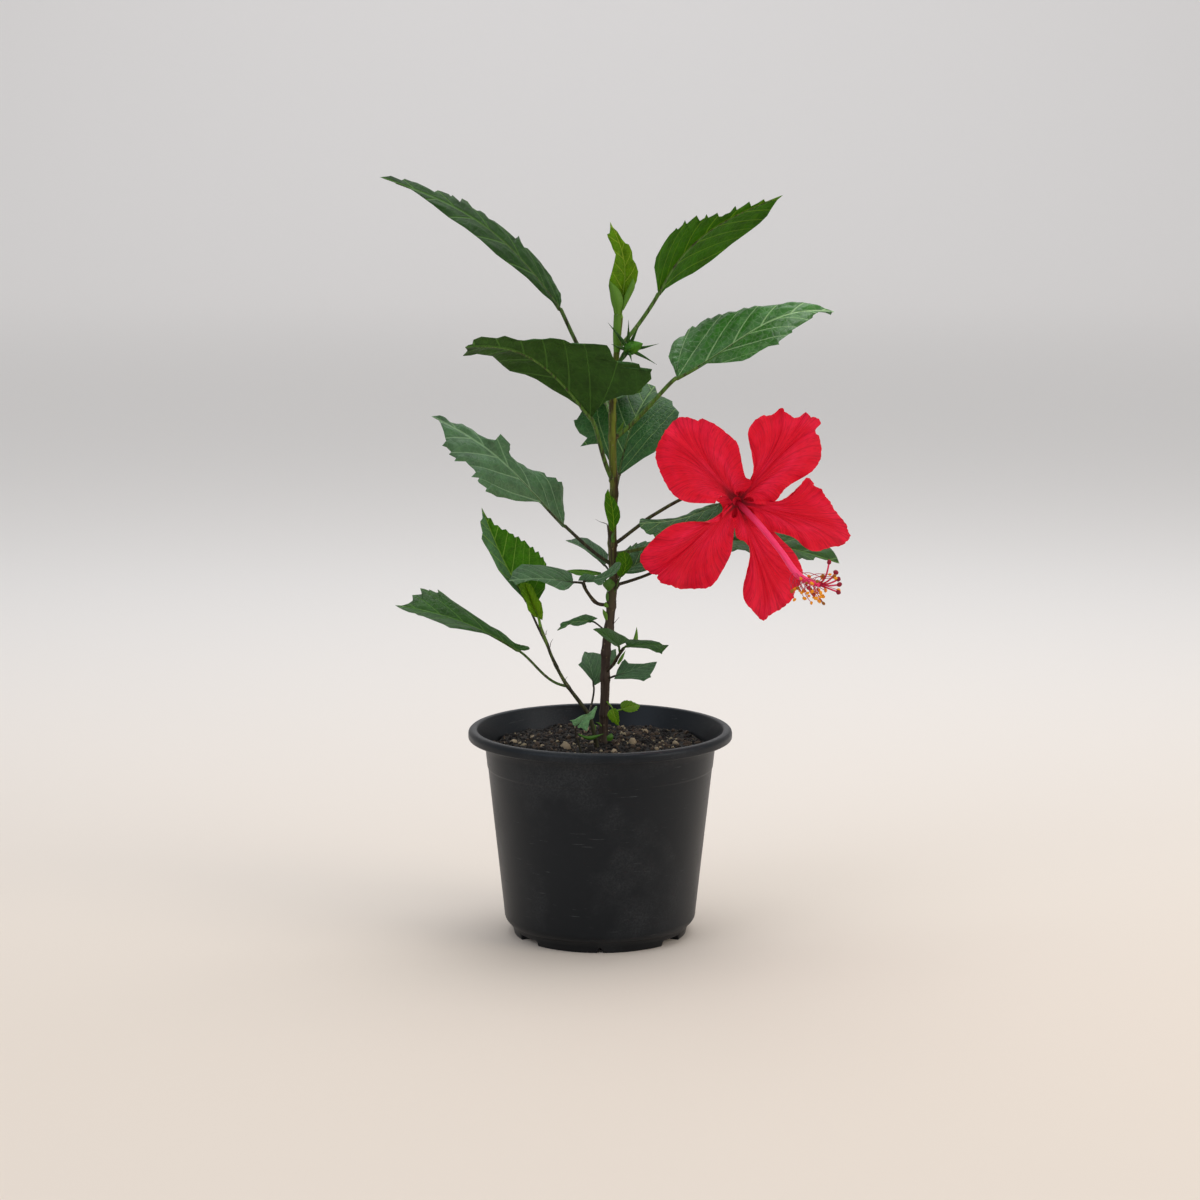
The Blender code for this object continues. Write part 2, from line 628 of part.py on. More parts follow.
def make_petal(name, petal, made_of):
    petal = seated_petal(petal)
    t = np.array([0.06, 0.14, 0.26, 0.40, 0.54, 0.68, 0.80, 0.90, 0.97])
    claw = np.clip(t / 0.30, 0.35, 1.0)
    rings = blade_rings(petal, t, np.full(len(t), PETAL_THICKNESS), claw)
    points, faces = loft(rings, start=petal.base, end=blade_points(petal, np.array([1.0]), 0.0)[0])
    return add_object(name, points, faces, made_of, 60)


def make_calyx(made_of):
    """The green cup behind the petals, with five shallow lobes."""
    profile = ((0.0, 1.7), (0.2, 3.4), (0.55, 4.8), (1.0, 5.4))
    side = unit(np.cross(BLOOM_AXIS, (0, 0, 1)))
    up = np.cross(BLOOM_AXIS, side)
    angles = 2 * np.pi * np.arange(10) / 10
    rings = []
    for share, radius in profile:
        lobed = radius * (1 + 0.12 * share * np.cos(5 * angles))
        middle = THROAT - BLOOM_AXIS * CALYX_LENGTH * (1 - share)
        rings.append(middle + lobed[:, None] * (np.cos(angles)[:, None] * side
                                                + np.sin(angles)[:, None] * up))
    points, faces = loft(rings)
    return add_object("calyx", points, faces, made_of, 60)


def knob(name, middle, size, made_of):
    mesh = bpy.data.meshes.new(name)
    work = bmesh.new()
    bmesh.ops.create_icosphere(work, subdivisions=1, radius=size * MM)
    bmesh.ops.translate(work, verts=work.verts, vec=[c * MM for c in middle])
    work.to_mesh(mesh)
    work.free()
    mesh.materials.append(made_of)
    item = bpy.data.objects.new(name, mesh)
    bpy.context.scene.collection.objects.link(item)
    return item


def thread(name, start, end, radius, made_of, sides=3, point=False):
    """A thin straight piece, blunt or drawn to a point."""
    path = np.array([start, end], float)
    if point:
        rings = tube_rings(np.array([path[0], (path[0] + path[1]) / 2]), [radius, radius], sides)
        points, faces = loft(rings, end=path[1])
    else:
        rings = tube_rings(path, [radius, radius], sides, first_side=(0.1, 0.2, 1.0))
        points, faces = loft(rings)
    return add_object(name, points, faces, made_of)


def make_column(made_of):
    """The long column of the bloom, with its five stigmas and the anthers round its end."""
    start = THROAT + BLOOM_AXIS * CLEAR
    path = smooth_path([start, *COLUMN_PATH], 3)
    radii = np.linspace(*COLUMN_RADIUS, len(path))
    points, faces = loft(tube_rings(path, radii, 8, seat=BLOOM_AXIS))
    column = add_object("stamen_column", points, faces, made_of, 60)
    parts = []
    for k, stigma in enumerate(STIGMAS):
        parts.append(thread(f"style_{k}", path[-2], stigma, THREAD, made_of))
        parts.append(knob(f"stigma_{k}", stigma, STIGMA_SIZE, made_of))
    along = tangents(path)
    for k in range(ANTHERS):
        share = 0.70 + 0.28 * k / (ANTHERS - 1)
        index = int(share * (len(path) - 1))
        angle = 2.4 * k
        side = unit(np.cross(along[index], (0, 0, 1)))
        up = np.cross(along[index], side)
        outward = np.cos(angle) * side + np.sin(angle) * up
        end = path[index] + outward * ANTHER_REACH * (0.75 + 0.25 * np.sin(1.7 * k))
        parts.append(thread(f"filament_{k}", path[index], end, THREAD, made_of))
        parts.append(knob(f"anther_{k}", end, ANTHER_SIZE, made_of))
    return fuse(column, parts)


def make_bud(made_of):
    """The small closed bud on its short stalk, and the narrow bracts round its foot."""
    foot, tip = np.asarray(BUD_FOOT), np.asarray(BUD_TIP)
    shares = np.array([0.0, 0.15, 0.4, 0.7, 0.9])
    path = foot + (tip - foot) * shares[:, None]
    radii = BUD_RADIUS * np.array([0.35, 0.75, 1.0, 0.8, 0.4])
    points, faces = loft(tube_rings(path, radii, 8), end=tip)
    bud = add_object("flower_bud", points, faces, made_of, 60)
    heart = foot + (tip - foot) * 0.3
    parts = [thread(f"bract_{k}", heart, end, BRACT_RADIUS, made_of, point=True)
             for k, end in enumerate(BRACT_TIPS)]
    stalk_foot, seat = foot_on(BUD_NODE, foot)
    stalk = tube_rings(np.array([stalk_foot, foot, heart]), [BUD_STALK] * 3, 6, seat=seat)
    parts.append(add_object("bud_stalk", *loft(stalk), made_of))
    return fuse(bud, parts)


YOUNG_LEAVES = {"leaf_crown_tip", "leaf_lime_roll", "leaf_stem_young", "leaf_axil_right",
                "leaf_axil_left", "leaf_soil_right", "leaf_soil_yellow"}


def main():
    clear_scene()
    made_of = make_materials()
    make_pot(made_of["pot"])
    make_soil(made_of["soil"])
    for name in STEMS:
        make_stem(name, made_of["bark"])
    for name, leaf in LEAVES.items():
        make_leaf(name, leaf, made_of["young" if name in YOUNG_LEAVES else "leaf"])
    for name, petal in PETALS.items():
        make_petal(name, petal, made_of["petal"])
    make_calyx(made_of["leaf"])
    make_column(made_of["column"])
    make_bud(made_of["young"])


main()
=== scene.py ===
# %% [markdown]
# # A young hibiscus in its nursery pot
# The real thing is a rooted cutting, two or three years old. One woody stem stands in
# a black moulded pot and carries toothed leaves on long stalks, and one red bloom hangs
# from a twig on the right. A plant like this could be scattered over its limbs by
# geometry nodes, but here each leaf is large and has a place and a bend of its own. So
# one short table tells how each leaf grows, and a few functions draw all of them.

# %% Load the frame
from typing import NamedTuple

import bpy
import numpy as np
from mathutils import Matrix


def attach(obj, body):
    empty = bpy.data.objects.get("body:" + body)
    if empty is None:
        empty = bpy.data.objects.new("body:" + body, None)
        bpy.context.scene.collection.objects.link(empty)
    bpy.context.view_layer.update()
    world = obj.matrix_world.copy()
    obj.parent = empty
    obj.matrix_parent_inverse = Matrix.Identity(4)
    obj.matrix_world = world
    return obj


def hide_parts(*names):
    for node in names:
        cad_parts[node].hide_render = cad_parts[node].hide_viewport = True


MM = 0.001
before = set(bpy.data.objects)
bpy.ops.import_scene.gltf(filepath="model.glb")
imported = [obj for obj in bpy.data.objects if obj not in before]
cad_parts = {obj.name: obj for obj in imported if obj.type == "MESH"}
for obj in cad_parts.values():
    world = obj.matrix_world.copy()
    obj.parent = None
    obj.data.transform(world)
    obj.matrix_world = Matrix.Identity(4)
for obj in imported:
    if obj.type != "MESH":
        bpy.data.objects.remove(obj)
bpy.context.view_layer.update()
print("frame:", len(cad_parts), "nodes")

# %% [markdown]
# ## Camera, floor and light
# A long lens from two metres away keeps the pot's sides nearly straight, as in a
# catalogue picture. The floor is one pale sheet that sweeps up far behind. Three large
# soft lamps stand for a studio: a ceiling bank that gives the leaves their grey sheen,
# a warm window on the right and a cool one on the left. A fourth hangs over the paper
# far behind and brightens it.

# %% Camera
CAMERA_PLACE = (0.0, -2.0, 0.5424)
CAMERA_TILT = 9.2  # degrees below the level
LENS, SENSOR = 94.65, 36.0  # millimetres

camera = bpy.data.objects.new("camera", bpy.data.cameras.new("camera"))
camera.data.lens = LENS
camera.data.sensor_width = SENSOR
camera.location = CAMERA_PLACE
camera.rotation_euler = (np.radians(90 - CAMERA_TILT), 0, 0)
bpy.context.scene.collection.objects.link(camera)
bpy.context.scene.camera = camera
print("camera:", CAMERA_PLACE, "looking", CAMERA_TILT, "degrees down")


# %% Colours and nodes
def linear(hex_colour):
    """An sRGB hex colour as linear red, green and blue, with an alpha of one."""
    parts = np.array([int(hex_colour[k:k + 2], 16) for k in (1, 3, 5)]) / 255
    bent = np.where(parts <= 0.04045, parts / 12.92, ((parts + 0.055) / 1.055) ** 2.4)
    return (*[float(c) for c in bent], 1.0)


def add_node(tree, kind, inputs=None, **settings):
    """Add a shader node: settings are its properties, inputs are values or outputs to link."""
    node = tree.nodes.new("ShaderNode" + kind)
    for name, value in settings.items():
        setattr(node, name, value)
    for name, value in (inputs or {}).items():
        if isinstance(value, bpy.types.NodeSocket):
            tree.links.new(value, node.inputs[name])
        else:
            node.inputs[name].default_value = value
    return node


def new_material(name, colour, **sockets):
    """A material with one Principled shader, whose plain values are set on its sockets."""
    made = bpy.data.materials.new(name)
    made.use_nodes = True
    shader = made.node_tree.nodes["Principled BSDF"]
    shader.inputs["Base Color"].default_value = linear(colour)
    for socket, value in sockets.items():
        shader.inputs[socket.replace("_", " ")].default_value = value
    made.diffuse_color = linear(colour)
    return made, made.node_tree, shader


FACTOR, COLOUR_A, COLOUR_B, MIXED = 0, 6, 7, 2  # the colour mixer's sockets, by number
print("helpers for colours and nodes are ready")

# %% Floor
PAPER_WIDTH, PAPER_FRONT, PAPER_BACK, SWEEP_RADIUS, PAPER_TOP = 40.0, -14.0, 6.0, 4.0, 9.0  # metres
BEIGE_UNTIL, WHITE_FROM = -0.4, 1.6  # metres behind the pot's middle

turn = np.radians(np.linspace(0, 90, 25))
strip = [(PAPER_FRONT, 0.0)]
strip += [(PAPER_BACK + SWEEP_RADIUS * np.sin(a), SWEEP_RADIUS * (1 - np.cos(a))) for a in turn]
strip += [(PAPER_BACK + SWEEP_RADIUS, PAPER_TOP)]
corners = [(side * PAPER_WIDTH / 2, y, z) for y, z in strip for side in (-1, 1)]
paper_mesh = bpy.data.meshes.new("paper_sweep")
paper_mesh.from_pydata(corners, [], [(k, k + 1, k + 3, k + 2) for k in range(0, len(corners) - 2, 2)])
paper_mesh.shade_smooth()
paper_sweep = bpy.data.objects.new("paper_sweep", paper_mesh)
bpy.context.scene.collection.objects.link(paper_sweep)
paper, tree, shader = new_material("Seamless studio paper", "#f1efee", Roughness=0.95,
                                   Specular_IOR_Level=0.2)
# The floor is beige around the pot and turns white two steps behind it.
where = add_node(tree, "TexCoord").outputs["Object"]
depth = add_node(tree, "SeparateXYZ", {"Vector": where}).outputs["Y"]
behind = add_node(tree, "MapRange", {
    "Value": depth, "From Min": BEIGE_UNTIL, "From Max": WHITE_FROM}, interpolation_type="SMOOTHSTEP")
tint = add_node(tree, "Mix", {
    FACTOR: behind.outputs[0], COLOUR_A: linear("#e6dacd"), COLOUR_B: linear("#f4f0ec")},
    data_type="RGBA")
tree.links.new(tint.outputs[MIXED], shader.inputs["Base Color"])
paper_mesh.materials.append(paper)
print("floor:", PAPER_WIDTH, "m wide")

# %% Sky and lamps
world = bpy.data.worlds.new("Studio")
world.use_nodes = True
world.node_tree.nodes["Background"].inputs["Color"].default_value = linear("#e9ebee")
world.node_tree.nodes["Background"].inputs["Strength"].default_value = 0.66
bpy.context.scene.world = world
bpy.context.scene.view_settings.view_transform = "Standard"  # colours show as they are mixed

# Each lamp: where it stands, the point it faces, its side in metres, watts and colour.
LAMPS = {
    "ceiling_bank": ((0.2, 0.5, 1.9), (0, 0, 0.3), 1.6, 18.0, "#fbfcff"),
    "window_right": ((1.7, -0.9, 0.9), (0, 0, 0.2), 1.0, 10.0, "#fff4e6"),
    "window_left": ((-1.5, -1.5, 1.3), (0, 0, 0.3), 1.3, 9.0, "#f2f6ff"),
    "paper_wash": ((0.0, 7.5, 3.0), (0, 7.45, 0.0), 5.0, 34.0, "#f4f7ff"),
}


def aim(item, place, target):
    """Put a lamp at a place and turn its -Z axis to the target."""
    item.location = place
    back = np.subtract(place, target)
    flat = np.hypot(back[0], back[1])
    item.rotation_euler = (np.arctan2(flat, back[2]), 0, np.arctan2(back[0], -back[1]))


for name, (place, target, side, watts, colour) in LAMPS.items():
    lamp = bpy.data.lights.new(name, "AREA")
    lamp.size = side
    lamp.energy = watts
    lamp.color = linear(colour)[:3]
    item = bpy.data.objects.new(name, lamp)
    bpy.context.scene.collection.objects.link(item)
    aim(item, place, target)
print("lamps:", ", ".join(LAMPS))

# %% [markdown]
# ## From rows of points to a piece
# Stems, stalks, leaves and petals are all nets of points, so one function turns points
# and faces into a piece. It can take a map of places for each face corner, which the
# materials read to know where on the leaf they are. Every piece rides on the one body.

# %% Making a piece
def rng_for(name):
    """Random numbers that depend on a piece's name alone."""
    return np.random.default_rng(sum(map(ord, name)))


def unit(vector):
    """The vector, made one long."""
    vector = np.asarray(vector, float)
    return vector / np.linalg.norm(vector)


def make_piece(name, points, faces, materials, slot, face_slots=None, maps=None, stands_for=(),
               crease=60.0):
    """A piece from points in millimetres. maps gives each named map's values per face corner."""
    mesh = bpy.data.meshes.new(name)
    mesh.from_pydata((np.asarray(points, float) * MM).tolist(), [], faces)
    for made in materials:
        mesh.materials.append(made)
    if face_slots is not None:
        mesh.polygons.foreach_set("material_index", np.asarray(face_slots, np.int32))
    for map_name, corners in (maps or {}).items():
        layer = mesh.uv_layers.new(name=map_name)
        layer.data.foreach_set("uv", np.asarray(corners, np.float32).ravel())
    mesh.shade_smooth()
    mesh.set_sharp_from_angle(angle=np.radians(crease))
    item = bpy.data.objects.new(name, mesh)
    bpy.context.scene.collection.objects.link(item)
    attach(item, "root")
    if stands_for:
        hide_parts(*stands_for)
    return item


class Net:
    """Points and faces gathered from several parts, with a material number and map values."""

    def __init__(self):
        self.points, self.faces, self.slots, self.corners, self.count = [], [], [], {}, 0

    def add(self, points, faces, slot=0, **maps):
        """maps gives a value per face corner, as one array for each map."""
        points = np.asarray(points, float)
        self.points.append(points)
        self.faces += [tuple(int(k) + self.count for k in face) for face in faces]
        self.slots += [slot] * len(faces)
        self.count += len(points)
        for key, values in maps.items():
            self.corners.setdefault(key, []).append(np.asarray(values, float).reshape(-1, 2))

    def piece(self, name, materials, slot, **rest):
        """The finished piece, with every map that was added."""
        maps = {key: np.vstack(parts) for key, parts in self.corners.items()}
        return make_piece(name, np.vstack(self.points), self.faces, materials, slot,
                          face_slots=self.slots, maps=maps, **rest)


print("a net of points becomes a piece on the body root")

# %% [markdown]
# ## Tubes for stems and stalks
# A curve with a bevel would do for a smooth stem, but bark wants a relief of its own:
# swollen joints where leaves stood, and fine ribs. So a stem is a tube of rings. Each
# ring's radius comes from the taper, and a small function of height and angle adds the
# relief.

# %% Paths and tubes
def smooth_path(points, steps):
    """Points along a Catmull-Rom curve through the given ones."""
    p = np.asarray(points, float)
    p = np.vstack([2 * p[0] - p[1], p, 2 * p[-1] - p[-2]])
    out = []
    for k in range(1, len(p) - 2):
        for t in np.arange(steps) / steps:
            out.append(0.5 * (2 * p[k] + (p[k + 1] - p[k - 1]) * t
                              + (2 * p[k - 1] - 5 * p[k] + 4 * p[k + 1] - p[k + 2]) * t * t
                              + (3 * p[k] - p[k - 1] - 3 * p[k + 1] + p[k + 2]) * t ** 3))
    out.append(p[-2])
    return np.array(out)


def bezier(a, b, c, d, count):
    """Points along a cubic curve from a to d, drawn towards b and c on its way."""
    t = np.linspace(0, 1, count)[:, None]
    return (1 - t) ** 3 * a + 3 * (1 - t) ** 2 * t * b + 3 * (1 - t) * t * t * c + t ** 3 * d


def tangents(path):
    """The direction of a path at each of its points."""
    steps = np.gradient(path, axis=0)
    return steps / np.linalg.norm(steps, axis=1)[:, None]


def lengths_along(path):
    """The distance from a path's start to each of its points."""
    return np.concatenate([[0], np.cumsum(np.linalg.norm(np.diff(path, axis=0), axis=1))])


def quads(rows, columns, closed):
    """Faces of a net of rows by columns, joined round into a tube if closed."""
    i, j = np.meshgrid(np.arange(rows - 1), np.arange(columns if closed else columns - 1),
                       indexing="ij")
    k = (j + 1) % columns
    return np.stack([i * columns + j, i * columns + k, (i + 1) * columns + k,
                     (i + 1) * columns + j], axis=-1).reshape(-1, 4)


def add_tube(net, path, radii, sides, slot=0, relief=None, first_side=(1.0, 0.0, 0.0), round_end=0.0):
    """A tube with closed ends. Its maps hold the angle round it and millimetres along it."""
    along = tangents(path)
    side = unit(np.asarray(first_side) - np.asarray(first_side) @ along[0] * along[0])
    angle = 2 * np.pi * np.arange(sides) / sides
    distance = lengths_along(path)
    rings = []
    for k, direction in enumerate(along):
        side = unit(side - side @ direction * direction)
        up = np.cross(direction, side)
        radius = radii[k] * np.ones(sides)
        if relief is not None:
            radius = radius + relief(distance[k], angle, radii[k])
        rings.append(path[k] + radius[:, None] * (np.cos(angle)[:, None] * side
                                                  + np.sin(angle)[:, None] * up))
    body = quads(len(rings), sides, True)
    ends = np.array([path[0], path[-1] + along[-1] * round_end])
    foot, tip = len(rings) * sides, len(rings) * sides + 1
    last = (len(rings) - 1) * sides
    fans = [(k, (k + 1) % sides, foot)[::-1] for k in range(sides)]
    fans += [(last + k, last + (k + 1) % sides, tip) for k in range(sides)]
    row, column = body // sides, body % sides
    turn = column / sides
    turn[:, 1:3] += (column[:, 1:3] == 0)  # the last strip closes the round
    places = np.stack([turn, distance[row] / 100], axis=-1).reshape(-1, 2)
    tips = np.zeros((3 * len(fans), 2))
    net.add(np.vstack([*rings, ends]), [*body.tolist(), *fans], slot,
            blade=np.vstack([places, tips]), veins=np.zeros((len(places) + len(tips), 2)))


print("paths and tubes are ready")

# %% [markdown]
# ## Stems
# The lower stem has begun to make bark: brown, dull, with raised pores and the scars of
# fallen leaves. Higher up it is still green and ribbed. One material turns from the one
# into the other with height. The side shoot is greener, and the three twigs are dark.

# %% Where the stems run
class Stem(NamedTuple):
    """A tapering stem: points along its middle in millimetres, its radius at foot and tip,
    how late it tapers, extra radius at the foot, and the places of its swollen joints."""

    points: tuple
    radius: tuple
    late: float = 1.0
    flare: float = 0.0
    joints: tuple = ()


FLARE_HEIGHT = 3.0  # millimetres in which the extra radius at the foot dies away
STEMS = {
    "main_stem": Stem(
        ((3, 0, 124.8), (2, 0, 131), (3, 0, 153), (4, 0, 187), (6, 0, 202), (8, 0, 224), (9, 0, 235),
         (8, 0, 251), (8, 0, 270), (9, 0, 290), (8, 0, 315), (8, 0, 347), (9, 0, 360), (11, 0, 382),
         (13, 0, 400)),
        (2.9, 1.6), late=3.0, flare=0.9,
        joints=(20, 43, 60, 76, 91, 104, 111, 118, 131, 163, 173, 199, 212, 224, 243, 257)),
    "side_shoot": Stem(
        ((-2, -12, 124.8), (-4, -13, 135), (-8, -13, 147), (-22, -15, 167), (-30, -18, 183),
         (-33, -19, 191), (-38, -20, 205)),
        (1.5, 0.9), flare=0.4, joints=(22, 46, 62, 78)),
    "low_shoot": Stem(((3, -1, 171), (8, -6, 177), (11, -12, 183), (15, -17, 190)), (1.1, 0.9),
                      joints=(14, 24)),
    "left_twig": Stem(((6, -1, 214), (-2, -5, 217), (-8, -10, 225), (-11, -15, 232)), (1.2, 1.0),
                      joints=(12, 26)),
    "flower_twig": Stem(
        ((9, 0, 254), (24, 0, 266), (32, 1, 272), (51, 2, 283), (66, 3, 289), (77, 1, 291),
         (84.3, -3.0, 286.4)),
        (1.2, 1.0), joints=(58,)),
}


def stem_line(name, steps=3):
    """The middle of a stem and its radius at each point."""
    stem = STEMS[name]
    path = smooth_path(stem.points, steps)
    length = lengths_along(path)
    share = (length / length[-1]) ** stem.late
    radii = stem.radius[0] + (stem.radius[1] - stem.radius[0]) * share
    return path, radii + stem.flare * np.exp(-length / FLARE_HEIGHT), length


def foot_on(node, towards):
    """Where a stalk stands on its stem, a little inside the bark, and which way is out."""
    name, distance = node
    path, radii, length = stem_line(name)
    if distance >= length[-1]:
        direction = tangents(path)[-1]
        return path[-1] - direction * 0.4, direction
    middle = np.array([np.interp(distance, length, path[:, i]) for i in range(3)])
    direction = unit([np.interp(distance, length, tangents(path)[:, i]) for i in range(3)])
    outward = np.asarray(towards, float) - middle
    outward = unit(outward - outward @ direction * direction)
    return middle + outward * 0.75 * np.interp(distance, length, radii), outward


print("stems:", ", ".join(STEMS))


# %% Bark and stem material
WANDER = 35.0  # millimetres


def bark_material(name, low, high, turn_from, turn_to, streak, roughness):
    """Bark that turns from one colour into another between two heights in millimetres."""
    made, tree, shader = new_material(name, low, Roughness=roughness, Specular_IOR_Level=0.25)
    place = add_node(tree, "TexCoord").outputs["Object"]
    height = add_node(tree, "SeparateXYZ", {"Vector": place}).outputs["Z"]
    # Streaks are about 1 mm across and some 16 times as long. The height at which the
    # colour turns wanders by up to WANDER either way.
    drawn = add_node(tree, "Mapping", {"Vector": place, "Scale": (1.0, 1.0, 0.06)})
    streaks = add_node(tree, "TexNoise", {
        "Vector": drawn.outputs["Vector"], "Scale": 1 / (2.0 * MM), "Detail": 4.0})
    wander = add_node(tree, "TexNoise", {"Vector": place, "Scale": 1 / (22 * MM)})
    shifted = add_node(tree, "Math", {
        0: wander.outputs["Fac"], 1: 2 * WANDER * MM, 2: height}, operation="MULTIPLY_ADD")
    ripe = add_node(tree, "MapRange", {
        "Value": shifted.outputs[0], "From Min": (turn_from + WANDER) * MM,
        "From Max": (turn_to + WANDER) * MM}, interpolation_type="SMOOTHSTEP")
    ground = add_node(tree, "Mix", {
        FACTOR: ripe.outputs[0], COLOUR_A: linear(low), COLOUR_B: linear(high)}, data_type="RGBA")
    lines = add_node(tree, "MapRange", {
        "Value": streaks.outputs["Fac"], "From Min": 0.45, "From Max": 0.62, "To Max": 0.85})
    streaked = add_node(tree, "Mix", {
        FACTOR: lines.outputs[0], COLOUR_A: ground.outputs[MIXED], COLOUR_B: linear(streak)},
        data_type="RGBA")
    # Lenticels, the breathing pores, are pale specks about 1 mm across.
    pores = add_node(tree, "TexVoronoi", {"Vector": place, "Scale": 1 / (3.2 * MM)})
    specks = add_node(tree, "MapRange", {
        "Value": pores.outputs["Distance"], "From Min": 0.10, "From Max": 0.22, "To Min": 0.45,
        "To Max": 0.0})
    done = add_node(tree, "Mix", {
        FACTOR: specks.outputs[0], COLOUR_A: streaked.outputs[MIXED], COLOUR_B: linear("#8d7d62")},
        data_type="RGBA")
    tree.links.new(done.outputs[MIXED], shader.inputs["Base Color"])
    rough = add_node(tree, "Bump", {
        "Height": streaks.outputs["Fac"], "Strength": 0.5, "Distance": 0.4 * MM})
    tree.links.new(rough.outputs["Normal"], shader.inputs["Normal"])
    return made


main_bark = bark_material("Bark, brown below and green above", "#43372d", "#667420", 195, 330,
                          "#2a1a12", 0.62)
twig_bark = bark_material("Twig bark, dark", "#3a3020", "#414a22", 200, 300, "#241c14", 0.55)
shoot_bark = bark_material("Green shoot bark", "#3a3a22", "#56702c", 150, 215, "#241f18", 0.55)
print("barks: main, twig and shoot")

# %% Growing the stems
GROWS_FROM = {"low_shoot": ("main_stem", 48), "left_twig": ("main_stem", 91),
              "flower_twig": ("main_stem", 131)}
BARKS = {"main_stem": main_bark, "side_shoot": shoot_bark}


def make_stem(name, sides, bark):
    stem = STEMS[name]
    path, radii, length = stem_line(name, steps=26 if name == "main_stem" else 14)
    rng = np.random.default_rng(len(name))
    turns = rng.uniform(0, 2 * np.pi, len(stem.joints))
    if name in GROWS_FROM:
        foot, _ = foot_on(GROWS_FROM[name], path[20])
        path = path + np.exp(-length / 6.0)[:, None] * (foot - path[0])

    def relief(distance, angle, radius):
        swell = 0.025 * radius * np.cos(5 * angle + distance * 0.02)
        swell = swell + 0.03 * radius * np.sin(11 * angle + 0.4 * distance)
        for joint, turn in zip(stem.joints, turns):
            near = np.exp(-((distance - joint) / 2.4) ** 2)
            ridge = np.exp(-((distance - joint + 1.6) / 0.7) ** 2)
            swell = swell + radius * (0.16 * near + 0.10 * ridge * (1 + np.cos(angle - turn)))
        return swell

    net = Net()
    add_tube(net, path, radii, sides, relief=relief, round_end=radii[-1] * 0.5)
    return net.piece(name + "_bark", [bark], "bark", stands_for=(name,))


for name in STEMS:
    stem_piece = make_stem(name, 28 if name == "main_stem" else 16, BARKS.get(name, twig_bark))
    print(name, "has", len(stem_piece.data.polygons), "faces")

# %% [markdown]
# ## Leaves
# A hibiscus leaf is a pointed oval with saw teeth, a strong midrib, two veins that rise
# from its base and a few side veins that leave the midrib further up. Between the veins
# the blade swells, which makes the quilted look. A flat card with a leaf picture would
# lose all of that from the side, so each blade is a net of a few thousand points: its
# outline comes from a drawn margin or from a width curve with a saw on it, its bend from
# a fold, an arch and a curl, and its relief from the same vein lines that the material
# paints.

# %% What a leaf is
class Leaf(NamedTuple):
    """A leaf blade on its stalk, in millimetres and degrees.

    node: the stem that carries it, and how far along that stem its foot is.
    base, tip: where the blade starts and ends. half: its greatest half widths, left
    and right of the midrib as seen from the base. roll: its turn about its own
    length. fold: how far each half rises from the flat, as one angle or as the angles
    at base and tip. curl: how much further each half bends between midrib and margin.
    arch, sweep: how far the midrib bows out of the blade and sideways, at the share of
    its length that crest gives. wave: height of the ripple of each half as a share of
    its width. facing: which way its upper side looks. stalk: the stalk's radius. lead:
    how far the stalk runs on before it turns into the blade, as a share of its span.
    rise: which way the stalk leaves its stem, where it isn't straight to the blade.
    teeth: how many on each side, and how far they stand out, on a leaf whose margin
    isn't drawn. pucker: how high the blade swells between its veins. finish: its
    colours, by name.
    """

    node: tuple
    base: tuple
    tip: tuple
    half: tuple
    roll: float = 0.0
    fold: tuple = (10.0, 10.0)
    curl: float = 14.0
    arch: float = 3.0
    crest: float = 0.5
    sweep: float = 0.0
    wave: tuple = (0.0, 0.0)
    facing: tuple = (0.0, 0.0, 1.0)
    stalk: float = 1.1
    lead: float = 0.2
    rise: tuple = ()
    teeth: tuple = (11, 1.7)
    pucker: float = 0.9
    finish: str = "mature"


